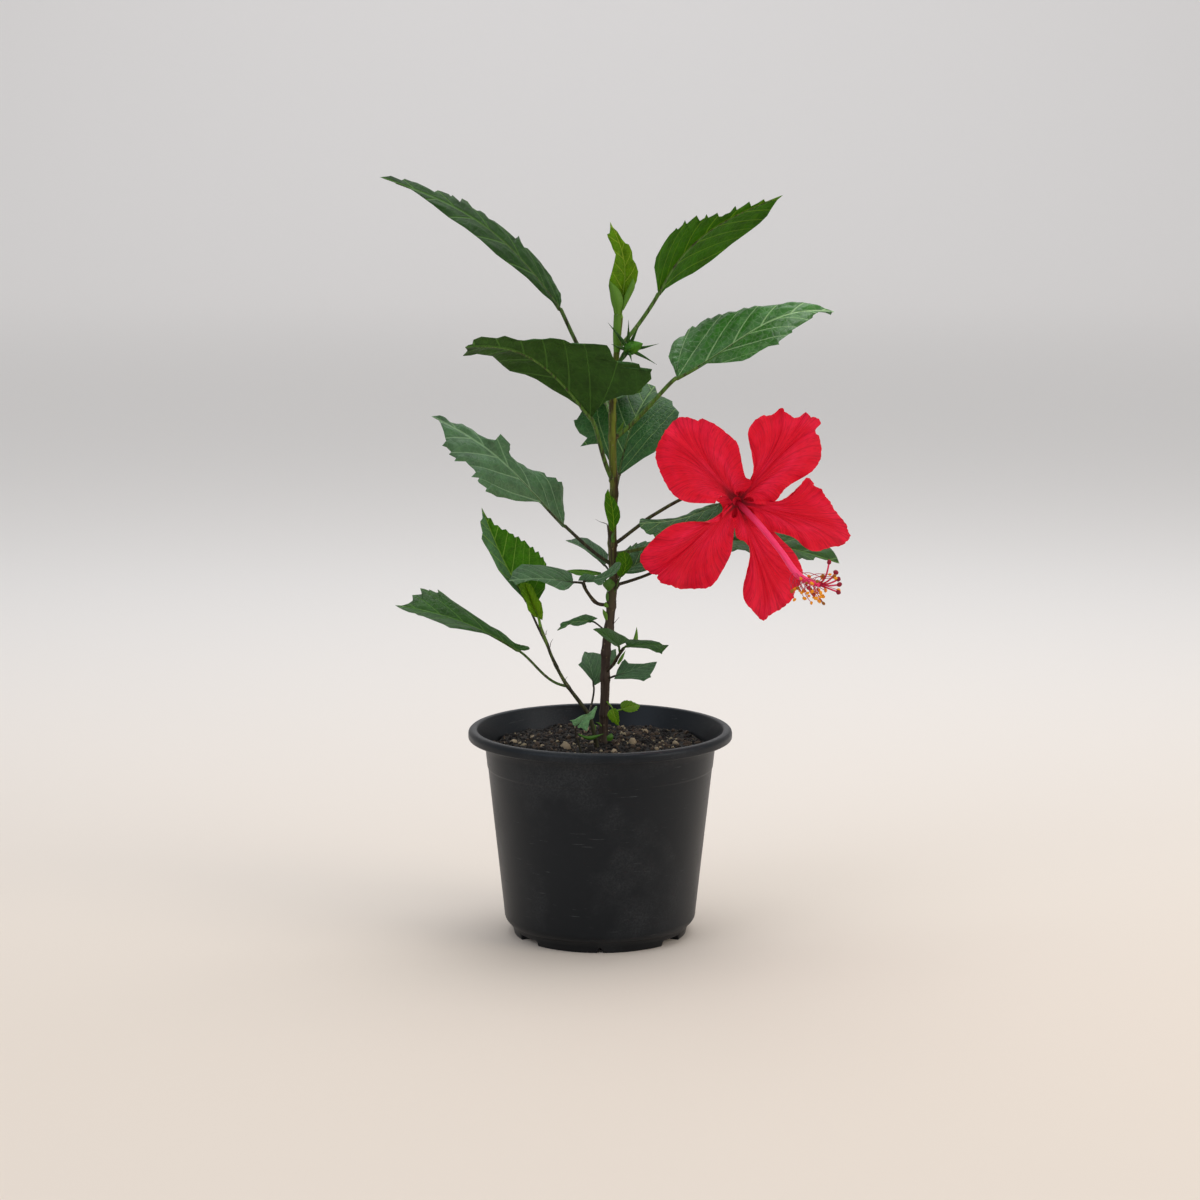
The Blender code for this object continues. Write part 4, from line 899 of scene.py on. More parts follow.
def blade_half(leaf, name, t, right, rng):
    """One half of the blade's middle surface, its swelling and its map places."""
    rows = len(t)
    t = t[:, None] * np.ones(len(ACROSS))
    s = ACROSS * np.ones_like(t)
    length = np.linalg.norm(np.subtract(leaf.tip, leaf.base))
    if name in MARGINS:
        far, width = drawn_margin(leaf, name, right, rows)
        t = t + (far - t[:, 0])[:, None] * s
    else:
        teeth, lean = saw(t[:, 0], leaf, rng)
        width = leaf.half[right] * outline(t[:, 0])
        bite = np.minimum(leaf.teeth[1], 0.45 * width)
        width = width + bite * (teeth - 0.55 * smoothstep(0.15, 0.35, t[:, 0]))
        t = np.clip(t + lean[:, None] * s ** 6, 0, 1)
    middle, _, up, side = midrib(leaf, t)
    curl = np.radians(leaf.curl)
    start = fold_angle(leaf, right, t) + curl / 2
    reach = width[:, None] * s
    outward = width[:, None] * (np.sin(start) - np.sin(start - curl * s)) / curl
    lifted = width[:, None] * (np.cos(start - curl * s) - np.cos(start)) / curl
    lifted = lifted + width[:, None] * s ** 2 * ripple(leaf, right, t)
    loose = rng.uniform(0, 2 * np.pi, 2)
    sway = np.sin(9 * t + loose[0]) + 0.6 * np.sin(17 * t + loose[1])
    lifted = lifted + 0.022 * width[:, None] * s ** 2 * sway
    across = reach / length
    veins = vein_places(across, t, right)
    swell = np.sin(np.pi * veins) ** 2 * smoothstep(0.0, 0.05, across) * (1 - 0.7 * s ** 6)
    ladder = 0.72 + 0.28 * np.cos(2 * np.pi * across * 21 + 2.0 * np.sin(9 * t))
    swell = leaf.pucker * length / 110 * swell * ladder
    swell = swell - 0.5 * np.exp(-(reach / 1.1) ** 2) * (1 - t)
    sign = -1 if right else 1
    points = middle + side * (sign * outward)[..., None] + up * lifted[..., None]
    return points, swell, np.stack([sign * across, t], -1), np.stack([veins, across], -1)


print("net lines across half a blade:", len(ACROSS))

# %% Both faces of a blade
LEAF_THICKNESS = 0.42


def add_blade(net, leaf, name, rows, rng):
    """Both faces of the blade: the left half's columns, the midrib, then the right half's."""
    t = np.linspace(0, 1, rows)
    halves = [blade_half(leaf, name, t, right, np.random.default_rng(rng.integers(1 << 30)))
              for right in (0, 1)]
    points = np.concatenate([halves[0][0][:, ::-1], halves[1][0][:, 1:]], axis=1)
    swell = np.concatenate([halves[0][1][:, ::-1], halves[1][1][:, 1:]], axis=1)
    columns = points.shape[1]
    centre = len(ACROSS) - 1
    lengthways, crossways = np.gradient(points, axis=0), np.gradient(points, axis=1)
    normal = np.cross(crossways, lengthways)
    normal /= np.linalg.norm(normal, axis=2)[..., None] + 1e-12
    if np.sum(normal * midrib(leaf, t)[2][:, None]) < 0:
        normal = -normal
    edge = np.minimum(np.arange(columns), np.arange(columns)[::-1]) / 3
    body = np.clip(edge, 0, 1)[None, :] * smoothstep(0, 0.02, t)[:, None] * smoothstep(
        0, 0.02, 1 - t)[:, None]
    upper = points + normal * (swell * np.clip(body, 0.2, 1) + LEAF_THICKNESS / 2 * body)[..., None]
    lower = points + normal * (swell * np.clip(body, 0.2, 1) - LEAF_THICKNESS / 2 * body)[..., None]
    body_faces = quads(rows, columns, False)
    row, column = body_faces // columns, body_faces % columns
    left = (column.min(axis=1) < centre)[:, None]
    blade, veins = (
        np.where(left[..., None], halves[0][which][:, ::-1][row, np.minimum(column, centre)],
                 halves[1][which][row, np.maximum(column - centre, 0)])
        for which in (2, 3))
    for surface, turn, slot in ((upper, 1, 0), (lower, -1, 1)):
        net.add(surface.reshape(-1, 3), body_faces[:, ::turn].tolist(), slot,
                blade=blade[:, ::turn], veins=veins[:, ::turn])


print("blades are", LEAF_THICKNESS, "mm thick")

# %% [markdown]
# ## Leaf finishes
# The blade is a waxed skin over green cells. The wax gives a soft grey sheen under a
# pale sky, and light from behind turns a thin blade a much brighter yellow green. Both
# depend on where each leaf hangs, so the leaves share nine finishes, from mature and
# glossy to backlit and young, and some of them paint that light into their colour: a
# painted grey sheen, painted backlight, painted backlight on one half beside a painted
# sheen on the other, and painted shade on the leaf that faces the ceiling lamp. Each
# paints its own veins from the blade's map.

# %% Leaf materials
# Upper side, left and right half; veins; underside; how rough; how strongly it shines.
FINISHES = {
    "mature": ("#244e12", "#285214", "#5c8a38", "#2b4b14", 0.46, 0.26),
    # Painted shade: this leaf faces the ceiling lamp, so its greens are painted darker.
    "upward": ("#1b3e0a", "#1d420c", "#4a7228", "#2b4b14", 0.50, 0.18),
    # Painted sheen: grey greens stand in for the sky's sheen on the wax, beside the shader's own shine.
    "greyish": ("#42683f", "#3d643a", "#86a87c", "#4a6e3c", 0.50, 0.36),
    "glossy": ("#34701f", "#306818", "#b4d898", "#30601e", 0.38, 0.50),
    "shaded": ("#2e5c28", "#2e5c2a", "#8fb56c", "#305522", 0.50, 0.28),
    # Painted backlight: bright yellow greens stand in for light shining through the blade.
    "backlit": ("#3a6e00", "#336600", "#8cb830", "#2f6000", 0.50, 0.10),
    # Painted light: a painted grey sheen on the left half, painted backlight on the right.
    "half_lit": ("#4c744a", "#366c00", "#8cb848", "#2f5a0c", 0.50, 0.12),
    "young": ("#527e00", "#588200", "#a4c040", "#487400", 0.48, 0.12),
    "pale": ("#6d9c66", "#689862", "#a2c496", "#6c9464", 0.52, 0.30),
}


def leaf_material(name, left, right, vein, roughness, shine, vein_strength):
    made, tree, shader = new_material(
        name, left, Roughness=roughness, Specular_IOR_Level=shine, Subsurface_Weight=0.12,
        Subsurface_Radius=(0.4 * MM, 0.9 * MM, 0.15 * MM))
    blade = add_node(tree, "UVMap", uv_map="blade").outputs[0]
    veins = add_node(tree, "UVMap", uv_map="veins").outputs[0]
    across = add_node(tree, "SeparateXYZ", {"Vector": blade}).outputs["X"]
    number = add_node(tree, "SeparateXYZ", {"Vector": veins})
    # Each half takes its own upper colour; on the half-lit finish the two differ by painted light, a
    # painted sheen on one half and painted backlight on the other.
    half = add_node(tree, "MapRange", {
        "Value": across, "From Min": 0.012, "From Max": -0.012}, interpolation_type="SMOOTHSTEP")
    ground = add_node(tree, "Mix", {
        FACTOR: half.outputs[0], COLOUR_A: linear(left), COLOUR_B: linear(right)}, data_type="RGBA")
    # Cloudy patches about a ninth of the leaf long, lighter and darker.
    clouds = add_node(tree, "TexNoise", {
        "Vector": blade, "Scale": 9.0, "Detail": 5.0, "Roughness": 0.62})
    shade = add_node(tree, "MapRange", {
        "Value": clouds.outputs["Fac"], "From Min": 0.32, "From Max": 0.70, "To Min": 0.66,
        "To Max": 1.28})
    mottled = add_node(tree, "VectorMath", {
        0: ground.outputs[MIXED], "Scale": shade.outputs[0]}, operation="SCALE")
    # Side veins sit where the map's number is whole, and thin out towards the margin.
    fold = add_node(tree, "Math", {0: number.outputs["X"], 1: 0.5}, operation="PINGPONG")
    width = add_node(tree, "MapRange", {
        "Value": number.outputs["Y"], "From Max": 0.26, "To Min": 0.075, "To Max": 0.035})
    side = add_node(tree, "MapRange", {
        "Value": fold.outputs[0], "From Min": width.outputs[0], "From Max": 0.012})
    # The midrib is about 1.8 mm across on a leaf of 110 mm.
    middle = add_node(tree, "MapRange", {
        "Value": number.outputs["Y"], "From Min": 0.011, "From Max": 0.005})
    strong = add_node(tree, "Math", {0: side.outputs[0], 1: middle.outputs[0]}, operation="MAXIMUM")
    # The finest veins net the blade into cells of about 4 mm.
    cells = add_node(tree, "TexVoronoi", {"Vector": blade, "Scale": 27.0}, feature="DISTANCE_TO_EDGE")
    fine = add_node(tree, "MapRange", {
        "Value": cells.outputs["Distance"], "From Min": 0.09, "From Max": 0.02, "To Max": 0.15})
    every = add_node(tree, "Math", {0: strong.outputs[0], 1: fine.outputs[0]}, operation="MAXIMUM")
    share = add_node(tree, "Math", {0: every.outputs[0], 1: vein_strength}, operation="MULTIPLY")
    done = add_node(tree, "Mix", {
        FACTOR: share.outputs[0], COLOUR_A: mottled.outputs[0], COLOUR_B: linear(vein)},
        data_type="RGBA")
    tree.links.new(done.outputs[MIXED], shader.inputs["Base Color"])
    relief = add_node(tree, "Math", {
        0: cells.outputs["Distance"], 1: every.outputs[0]}, operation="SUBTRACT")
    bump = add_node(tree, "Bump", {"Height": relief.outputs[0], "Strength": 0.7, "Distance": 0.6 * MM})
    tree.links.new(bump.outputs["Normal"], shader.inputs["Normal"])
    return made


VEINS_ABOVE, VEINS_BELOW = 0.62, 0.36  # how strongly the vein colour shows
leaf_finish = {}
for finish, (left, right, vein, under, roughness, shine) in FINISHES.items():
    spoken = finish.replace("_", "-").capitalize()
    leaf_finish[finish] = (
        leaf_material(f"{spoken} leaf skin", left, right, vein, roughness, shine, VEINS_ABOVE),
        leaf_material(f"{spoken} leaf underside", under, under, vein, roughness + 0.12,
                      0.6 * shine, VEINS_BELOW))

stalk_green = bark_material("Leaf stalk, green", "#3f5a22", "#4f7426", 100, 420, "#2f2418", 0.5)
stalk_brown = bark_material("Leaf stalk, dark", "#2c2a1c", "#46602a", 215, 330, "#241a14", 0.5)
stalk_lime = bark_material("Young leaf stalk", "#5d8a1e", "#6f9a22", 150, 420, "#55701f", 0.45)
STALK_FINISH = {"young": stalk_lime, "backlit": stalk_green, "mature": stalk_green,
                "glossy": stalk_green}
print("leaf finishes:", ", ".join(leaf_finish))

# %% Growing the leaves
SOIL_TOP = 124.5
SOIL_LEAF_FOOT = (-12.0, -27.0)  # where the leaf that grows from the soil has its foot
STALK_SPAN = 0.35  # how far the stalk's bend reaches from its foot, as a share of its span
ROW_SPACING = 0.78  # millimetres between the blade's rows
DRAWN_ROWS = 190  # rows of a blade whose margin is drawn
SHORT_LEAF = 60.0  # a bright leaf under this length counts as young growth


def make_leaf(name, leaf):
    """The blade, and a stalk that runs on under it as the midrib's keel."""
    rng = rng_for(name)
    if name in MARGINS:
        start, left, _ = MARGINS[name]
        leaf = leaf._replace(tip=moved_to(leaf.tip, np.add(start, left[-1])))
    length = np.linalg.norm(np.subtract(leaf.tip, leaf.base))
    rows = DRAWN_ROWS if name in MARGINS else int(np.clip(length / ROW_SPACING, 26, 160))
    net = Net()
    add_blade(net, leaf, name, rows, rng)
    t = np.linspace(0, 0.93, 26)
    ridge, run, up, side = midrib(leaf, t)
    start = ridge[0]
    if leaf.node[0] == "soil":
        foot, out = np.array([*SOIL_LEAF_FOOT, SOIL_TOP - 1]), np.array([0.0, 0.0, 1.0])
    else:
        foot, out = foot_on(leaf.node, start)
    span = np.linalg.norm(start - foot)
    leave = unit(leaf.rise) if leaf.rise else unit(unit(start - foot) + 0.3 * out)
    stalk = bezier(foot, foot + leave * span * STALK_SPAN, start - run[0] * span * leaf.lead, start, 22)
    under = ridge - up * (0.35 + 0.25 * (1 - t))[:, None]
    path = np.vstack([stalk[:-1], under])
    reach = lengths_along(path)
    knot = reach[len(stalk) - 1]
    along = np.clip((reach - knot) / (reach[-1] - knot), 0, 1)
    radii = leaf.stalk * (1 - 0.12 * np.clip(reach / knot, 0, 1)) * (1 - 0.80 * along ** 0.55)
    radii = radii * (1 + 0.28 * np.exp(-reach / 1.6) + 0.10 * np.exp(-((reach - knot) / 2.0) ** 2))

    def relief(distance, angle, radius):
        return 0.05 * radius * np.cos(3 * angle + 0.05 * distance)

    add_tube(net, path, radii, 10, slot=2, relief=relief, first_side=tuple(side[0]))
    upper, lower = leaf_finish[leaf.finish]
    stalk_skin = STALK_FINISH.get(leaf.finish, stalk_brown)
    young = leaf.finish in ("young", "backlit") and length < SHORT_LEAF
    return net.piece(name.replace("leaf_", "") + "_leaf", [upper, lower, stalk_skin],
                     "young" if young else "leaf", stands_for=(name,))


faces = 0
for name, leaf in LEAVES.items():
    faces += len(make_leaf(name, leaf).data.polygons)
print("leaf faces:", faces)

# %% [markdown]
# ## Small growth on the stems
# Where a leaf meets a stem two stipules stand, thin as bristles, and old ones are grey
# and dry. Scales of buds that haven't opened sit there too, and seedlings stand on the
# soil. They are drawn as they look from the camera, like the margins.

# %% Stipules, scales and seedlings
# Colour, how far back the thing stands, and its left and right edge from base to tip.
SCALES = (
    ("lime", -6, ((21, 0), (22, 3), (23.5, 8.5)), ((24.3, 0), (24.2, 4), (23.5, 8.5))),
    ("lime", -4, ((3.2, 13), (1.8, 17), (1.7, 20)), ((5, 13), (4.6, 17), (1.7, 20))),
    ("lime", -4, ((3, 21), (2.4, 22.6), (3.6, 24.4)), ((5.5, 21), (5.2, 22.8), (3.6, 24.4))),
    ("lime", -7, ((8.5, -16), (9, -12), (13.4, -8)), ((9.6, -16.4), (11.4, -12), (13.4, -8))),
    ("lime", -8, ((10.8, -15), (12.8, -11), (16.4, -6.5)), ((12, -15.6), (14.6, -12), (16.4, -6.5))),
    ("lime", 6, ((10, 128.5), (11, 134), (15.6, 140.4)), ((11.6, 129), (14.2, 134.5), (15.6, 140.4))),
    ("lime", -2.5, ((8.7, 184), (8.3, 195), (8.8, 208)), ((12.4, 184), (13, 195), (13.8, 208))),
    ("lime", -7, ((10, 208), (7.4, 215), (6.3, 222), (6.4, 229.6)),
     ((12.5, 208), (14.8, 216), (12.5, 223.5), (6.4, 229.6))),
    ("lime", -6, ((13.6, 210), (15, 218), (18.4, 226), (21.4, 232)),
     ((15.2, 211), (19.4, 219), (22.4, 226), (21.4, 232))),
    ("grass", -4, ((4.6, 31.4), (1.8, 35.8), (6, 39.8)), ((6, 31.2), (9.8, 35.6), (6, 39.8))),
    ("grass", -3, ((4, 25), (3.6, 28), (4.6, 32)), ((5.4, 25), (5.8, 28), (4.6, 32))),
    ("grass", -3, ((7.5, 62.5), (7, 66), (8.3, 69)), ((9.6, 62.5), (9.6, 66), (8.3, 69))),
    ("grass", -24, ((-14, -59.6), (-8, -61.4), (2.6, -59.8)), ((-13.6, -61.2), (-6, -63.8), (2.6, -59.8))),
    ("grass", -16, ((4.6, -64.4), (4.4, -61.5), (7.6, -59.6)), ((7.4, -64.2), (8.6, -62), (7.6, -59.6))),
    ("lime", -9, ((-3.4, -57.4), (-5, -55.4), (-4.6, -53.2)), ((-2.6, -57), (-2.6, -54.6), (-4.6, -53.2))),
    ("lime", -8, ((0.8, -55.4), (-1, -53.6), (-3, -52.4)), ((1.2, -54.6), (-0.4, -52.8), (-3, -52.4))),
)
# Colour, how far back, radius, and its points from base to tip.
BRISTLES = (
    ("dry", -2, 0.9, ((6.6, 61), (5.6, 67), (4.9, 72), (4.4, 74.4))),
    ("dry", -3, 0.3, ((4.6, 74), (2, 75), (0, 75.6), (-3, 77.2))),
    ("dry", -2, 0.4, ((7.6, 8.6), (9, 10.8), (12.3, 14.6))),
    ("dry", -2, 0.3, ((8.6, 22.6), (9.6, 24), (10.8, 25.2))),
    ("dry", -3, 0.6, ((11.8, 34), (12.4, 35.4), (13.3, 36.9))),
    ("dry", -15, 0.3, ((-34.6, 3.4), (-34.4, 5), (-33.8, 6.6))),
    ("dry", -15, 0.3, ((-32, -4.6), (-31.4, -1.6), (-29.9, 0.8))),
    ("dry", -14, 0.3, ((-22.6, -26), (-22, -25), (-20.9, -23.2))),
    ("dry", 0, 0.9, ((5.6, -24.4), (4.4, -23.4), (3.4, -23.6))),
)
GROWTH_COLOURS = {"lime": "#4f7d06", "grass": "#3c6a0c", "dry": "#3d342a"}


def placed(points, depth):
    """Where drawn points lie in space, when they stand so far back."""
    right, up = np.transpose(np.add(LOW, points)) / PICTURE_DISTANCE
    reach = depth - CAMERA_PLACE[1] / MM
    fall = reach * (up * np.cos(SIGHT_DROP) - np.sin(SIGHT_DROP)) / (
        np.cos(SIGHT_DROP) + up * np.sin(SIGHT_DROP))
    away = reach * np.cos(SIGHT_DROP) - fall * np.sin(SIGHT_DROP)
    return np.stack([right * away, depth + 0 * right, fall + CAMERA_PLACE[2] / MM], axis=1)


def add_scale(net, depth, left, right, rows=14, columns=9):
    """A small blade between two drawn edges, bowed towards the camera."""
    sides = []
    for edge in (left, right):
        line = smooth_path([(*point, 0.0) for point in edge], 8)[:, :2]
        length = lengths_along(line)
        stops = np.linspace(0, length[-1], rows)
        sides.append(placed(np.stack([np.interp(stops, length, line[:, k]) for k in (0, 1)], 1), depth))
    across = np.linspace(0, 1, columns)[:, None]
    sheet = sides[0][:, None] * (1 - across) + sides[1][:, None] * across
    width = np.linalg.norm(sides[1] - sides[0], axis=1)[:, None]
    bow = 0.3 * width * np.sin(np.pi * across[:, 0])
    front, back = sheet.copy(), sheet.copy()
    front[..., 1] -= bow + 0.15
    back[..., 1] -= bow - 0.15
    faces = quads(rows, columns, False)
    net.add(front.reshape(-1, 3), faces.tolist())
    net.add(back.reshape(-1, 3), faces[:, ::-1].tolist())


growth = {kind: Net() for kind in GROWTH_COLOURS}
for kind, depth, left, right in SCALES:
    add_scale(growth[kind], depth, left, right)
for kind, depth, radius, points in BRISTLES:
    path = smooth_path(placed(points, depth), 6)
    add_tube(growth[kind], path, radius * np.linspace(1, 0.25, len(path)), 7)
for kind, net in growth.items():
    skin = new_material(f"Small growth, {kind}", GROWTH_COLOURS[kind], Roughness=0.6)[0]
    net.piece(f"small_growth_{kind}", [skin], "bark" if kind == "dry" else "young")
print("small growth:", len(SCALES), "scales and", len(BRISTLES), "bristles")

# %% [markdown]
# ## The bloom
# Five broad petals stand on a green cup round one long tube. The tube carries dozens of
# anthers on threads and ends in five round stigmas. A petal is far thinner than a leaf,
# ribbed by veins that fan out from its narrow claw, and its margin is frilled and torn.
# A width curve can't draw such a margin, so it is a line through given points, as the
# bloom looks from the front. Rays fan out to it from the claw and carry the ribs. The
# flat drawing is then pushed back along the line of sight on to the bloom's dish.

# %% The dish that the petals lie on
THROAT = np.array([88.0, -16.0, 283.0])
BLOOM_AXIS = unit([0.28, -1.0, -0.25])
BLOOM_DRAWN_FROM = (87.5, 63.2)  # where the drawings of the petals start


def on_dish(right, up, forward):
    """The place seen right of and above the throat, so far forward of the bloom's plane."""
    slope_x, slope_z = BLOOM_AXIS[0] / -BLOOM_AXIS[1], BLOOM_AXIS[2] / -BLOOM_AXIS[1]
    target = np.stack([right + BLOOM_DRAWN_FROM[0], up + BLOOM_DRAWN_FROM[1]], axis=-1)
    points = np.stack([THROAT[0] + right, THROAT[1] + 0 * right, THROAT[2] + up], axis=-1)
    for _ in range(5):
        miss = target - seen(points)
        points[..., 0] += miss[..., 0]
        points[..., 2] += miss[..., 1]
        points[..., 1] = THROAT[1] - forward + slope_x * (points[..., 0] - THROAT[0]) + (
            slope_z * (points[..., 2] - THROAT[2]))
    return points


print("the bloom faces", [round(float(v), 2) for v in BLOOM_AXIS])


# %% Petals and how they grow
class Petal(NamedTuple):
    """A petal: its margin clockwise from claw to claw, in millimetres right of and above
    the throat, how far forward its middle and its far end stand, and its frill's height."""

    margin: tuple
    middle: float = 9.0
    end: float = 5.0
    frill: float = 1.5


PETALS = {
    "petal_upper_left": Petal(
        ((-14, -1.5), (-30, -1), (-38, 2), (-43, 7), (-47, 14), (-50, 21), (-52, 28), (-51, 35),
         (-48, 41), (-45, 46), (-38, 53), (-31, 53.5), (-25, 51.5), (-22, 52.7), (-13, 48.5), (-6, 43),
         (0, 37.5), (2, 31), (3.5, 23), (5.5, 15.5), (8.8, 13.5), (8.5, 9.5), (5, 6))),
    "petal_upper_right": Petal(
        ((8, 9), (9.7, 14), (10.5, 22), (9, 32), (7, 43), (10, 50), (16, 54.5), (22, 55), (28.5, 59.7),
         (31, 57), (38, 53.2), (44, 56.7), (47, 54), (51, 53.3), (53.7, 49.8), (50, 45), (53, 40),
         (54, 30), (52, 24), (48, 19), (42, 15), (35, 11), (30, 7), (26, 1.5), (21, -2), (12, -2)),
        middle=8.0, end=3.0),
    "petal_right": Petal(
        ((12, 1), (25, 0), (31, 2), (36, 6), (41, 11), (44.5, 15), (48, 13), (50, 9.5), (54, 7.7),
         (56, 4), (60, -1), (62, -5), (66, -10), (70, -15), (71, -19), (72.5, -22.5), (70, -26),
         (66.5, -28.5), (60, -29.5), (52, -32), (47, -31.5), (42, -28.5), (38, -24.5), (33, -22),
         (27, -20.5), (19, -18), (11, -11)),
        end=7.0),
    "petal_bottom": Petal(
        ((12, -9), (22, -18), (29, -25), (36, -32), (40, -39), (42, -45), (41, -52), (37, -58),
         (36, -62), (32, -66), (28, -69), (21, -73), (18, -76), (15, -75.5), (10, -70), (5, -64),
         (3.8, -56), (6, -46), (8, -37), (8.5, -31), (5, -26), (0, -23.5), (-1.5, -17), (-3, -11)),
        middle=8.0, end=8.0, frill=1.2),
    "petal_lower_left": Petal(
        ((-1, -12), (-2.5, -25), (-4, -34), (-9, -44), (-14, -52), (-19, -55.5), (-27, -56), (-37, -56),
         (-42, -54), (-48, -52.5), (-51, -49), (-50.5, -47.2), (-54, -46.7), (-59, -43), (-62, -37),
         (-60, -32), (-56, -27), (-50, -21), (-42, -15.5), (-34, -13.5), (-25, -13), (-14, -14),
         (-10, -11), (-9.3, -6), (-6, -2)),
        end=6.0),
}
PETAL_THICKNESS = 0.5
CLAW_RADIUS = 3.0
RAY_LEAD = 0.72  # a ray keeps to the petal's heading this long before it turns to the margin
OVERLAP = 1.9  # each petal's clockwise side stands this much forward of its middle
print("petal margins:", len(PETALS))


# %% Petal velvet
def petal_material():
    made, tree, shader = new_material(
        "Hibiscus petal velvet", "#ea062c", Roughness=0.62, Specular_IOR_Level=0.2,
        Sheen_Weight=0.10, Sheen_Roughness=0.4, Sheen_Tint=linear("#ff8c98"))
    # The map's X numbers the rays and its Y runs from claw to margin. Veins are noise
    # drawn out along the rays, and finer ones fork off towards the margin.
    place = add_node(tree, "UVMap", uv_map="blade").outputs[0]
    along = add_node(tree, "SeparateXYZ", {"Vector": place}).outputs["Y"]
    drawn = add_node(tree, "Mapping", {"Vector": place, "Scale": (92.0, 1.3, 1.0)})
    veins = add_node(tree, "TexNoise", {
        "Vector": drawn.outputs["Vector"], "Scale": 1.0, "Detail": 3.0, "Roughness": 0.6,
        "Distortion": 0.15})
    thin = add_node(tree, "Mapping", {"Vector": place, "Scale": (170.0, 8.0, 1.0)})
    forks = add_node(tree, "TexNoise", {
        "Vector": thin.outputs["Vector"], "Scale": 1.0, "Detail": 2.0, "Distortion": 0.4})
    # Lighter pink clouds are painted sheen, on top of the shader's own sheen.
    clouds = add_node(tree, "TexNoise", {"Vector": place, "Scale": 2.6, "Detail": 3.0})
    flush = add_node(tree, "MapRange", {
        "Value": along, "From Min": 0.0, "From Max": 0.17}, interpolation_type="SMOOTHSTEP")
    deep = add_node(tree, "Mix", {
        FACTOR: flush.outputs[0], COLOUR_A: linear("#70000f"), COLOUR_B: linear("#e4042a")},
        data_type="RGBA")
    pale = add_node(tree, "MapRange", {
        "Value": clouds.outputs["Fac"], "From Min": 0.42, "From Max": 0.70, "To Max": 0.65})
    lit = add_node(tree, "Mix", {
        FACTOR: pale.outputs[0], COLOUR_A: deep.outputs[MIXED], COLOUR_B: linear("#fa2450")},
        data_type="RGBA")
    # Clouds must not lighten the dark throat.
    kept = add_node(tree, "Mix", {
        FACTOR: flush.outputs[0], COLOUR_A: deep.outputs[MIXED], COLOUR_B: lit.outputs[MIXED]},
        data_type="RGBA")
    dark = add_node(tree, "MapRange", {
        "Value": veins.outputs["Fac"], "From Min": 0.50, "From Max": 0.70, "To Max": 0.58})
    fine = add_node(tree, "MapRange", {
        "Value": forks.outputs["Fac"], "From Min": 0.52, "From Max": 0.72, "To Max": 0.44})
    every = add_node(tree, "Math", {0: dark.outputs[0], 1: fine.outputs[0]}, operation="MAXIMUM")
    done = add_node(tree, "Mix", {
        FACTOR: every.outputs[0], COLOUR_A: kept.outputs[MIXED], COLOUR_B: linear("#8c001c")},
        data_type="RGBA")
    tree.links.new(done.outputs[MIXED], shader.inputs["Base Color"])
    height = add_node(tree, "Math", {
        0: forks.outputs["Fac"], 1: 0.35, 2: veins.outputs["Fac"]}, operation="MULTIPLY_ADD")
    bump = add_node(tree, "Bump", {
        "Height": height.outputs[0], "Strength": 0.75, "Distance": 0.6 * MM}, invert=True)
    tree.links.new(bump.outputs["Normal"], shader.inputs["Normal"])
    return made


petal_velvet = petal_material()
print("material:", petal_velvet.name)


# %% Petals
def make_petal(name, petal, rows=64, steps=6):
    rng = rng_for(name)
    margin = smooth_path([(*point, 0.0) for point in petal.margin], steps)[:, :2]
    columns = len(margin)
    k = np.linspace(0, 1, columns)
    t = np.linspace(0, 1, rows)[:, None] ** 0.85
    reach = np.linalg.norm(margin, axis=1)
    heading = unit((margin * reach[:, None]).sum(axis=0))
    swing = np.arctan2(heading[0] * margin[:, 1] - heading[1] * margin[:, 0], margin @ heading)
    claw_turn = np.clip(swing, -0.85, 0.85)
    turned_by = np.arctan2(heading[1], heading[0]) + claw_turn
    claw = CLAW_RADIUS * np.stack([np.cos(turned_by), np.sin(turned_by)], axis=1)
    ruffle = 0.22 * np.sin(2 * np.pi * 31 * k + rng.uniform(0, 6)) + 0.18 * np.sin(2 * np.pi * 53 * k)
    margin = margin + (margin / reach[:, None]) * (ruffle * smoothstep(12, 30, reach))[:, None]
    bend = claw + RAY_LEAD * reach[:, None] * heading
    ray = (((1 - t) ** 2)[..., None] * claw + (2 * t * (1 - t))[..., None] * bend
           + (t * t)[..., None] * margin)
    share = np.linalg.norm(ray, axis=2) / reach.max()
    side = -swing / 1.1 * np.ones_like(t)  # positive on the clockwise side
    forward = petal.middle * np.sin(np.pi * np.clip(share, 0, 1) ** 0.9) + petal.end * share
    forward = forward + OVERLAP * side * (0.35 + 0.65 * smoothstep(0.0, 0.25, share))
    waves = np.sin(2 * np.pi * 7.5 * k + rng.uniform(0, 6)) + 0.6 * np.sin(2 * np.pi * 13 * k + 1.0)
    forward = forward + petal.frill * waves * t ** 4 * smoothstep(8, 25, reach)
    # By the throat the margin rolls forward.
    curled = 2.6 * np.exp(-((reach - 14) / 8) ** 2) * (t ** 5)
    ribs = 0.22 * np.sin(2 * np.pi * 17 * k + 3 * t) + 0.6 * np.sin(2 * np.pi * 4.3 * k + 1.7 * t + 2.0)
    forward = forward + curled + ribs * smoothstep(0.08, 0.4, t)
    points = on_dish(ray[..., 0], ray[..., 1], forward)
    normal = np.cross(np.gradient(points, axis=1), np.gradient(points, axis=0))
    normal /= np.linalg.norm(normal, axis=2)[..., None] + 1e-12
    edge = np.minimum(np.arange(columns), np.arange(columns)[::-1]) / 4
    thick = (PETAL_THICKNESS / 2 * (1 - t ** 10) * np.clip(edge, 0.1, 1))[..., None]
    body = quads(rows, columns, False)
    net = Net()
    for sheet, faces in ((points - normal * thick, body), (points + normal * thick, body[:, ::-1])):
        i, j = faces // columns, faces % columns
        net.add(sheet.reshape(-1, 3), faces.tolist(), 0, blade=np.stack([k[j], t[i, 0]], -1))
    return net.piece(name.replace("petal_", "") + "_petal", [petal_velvet], "petal", stands_for=(name,))


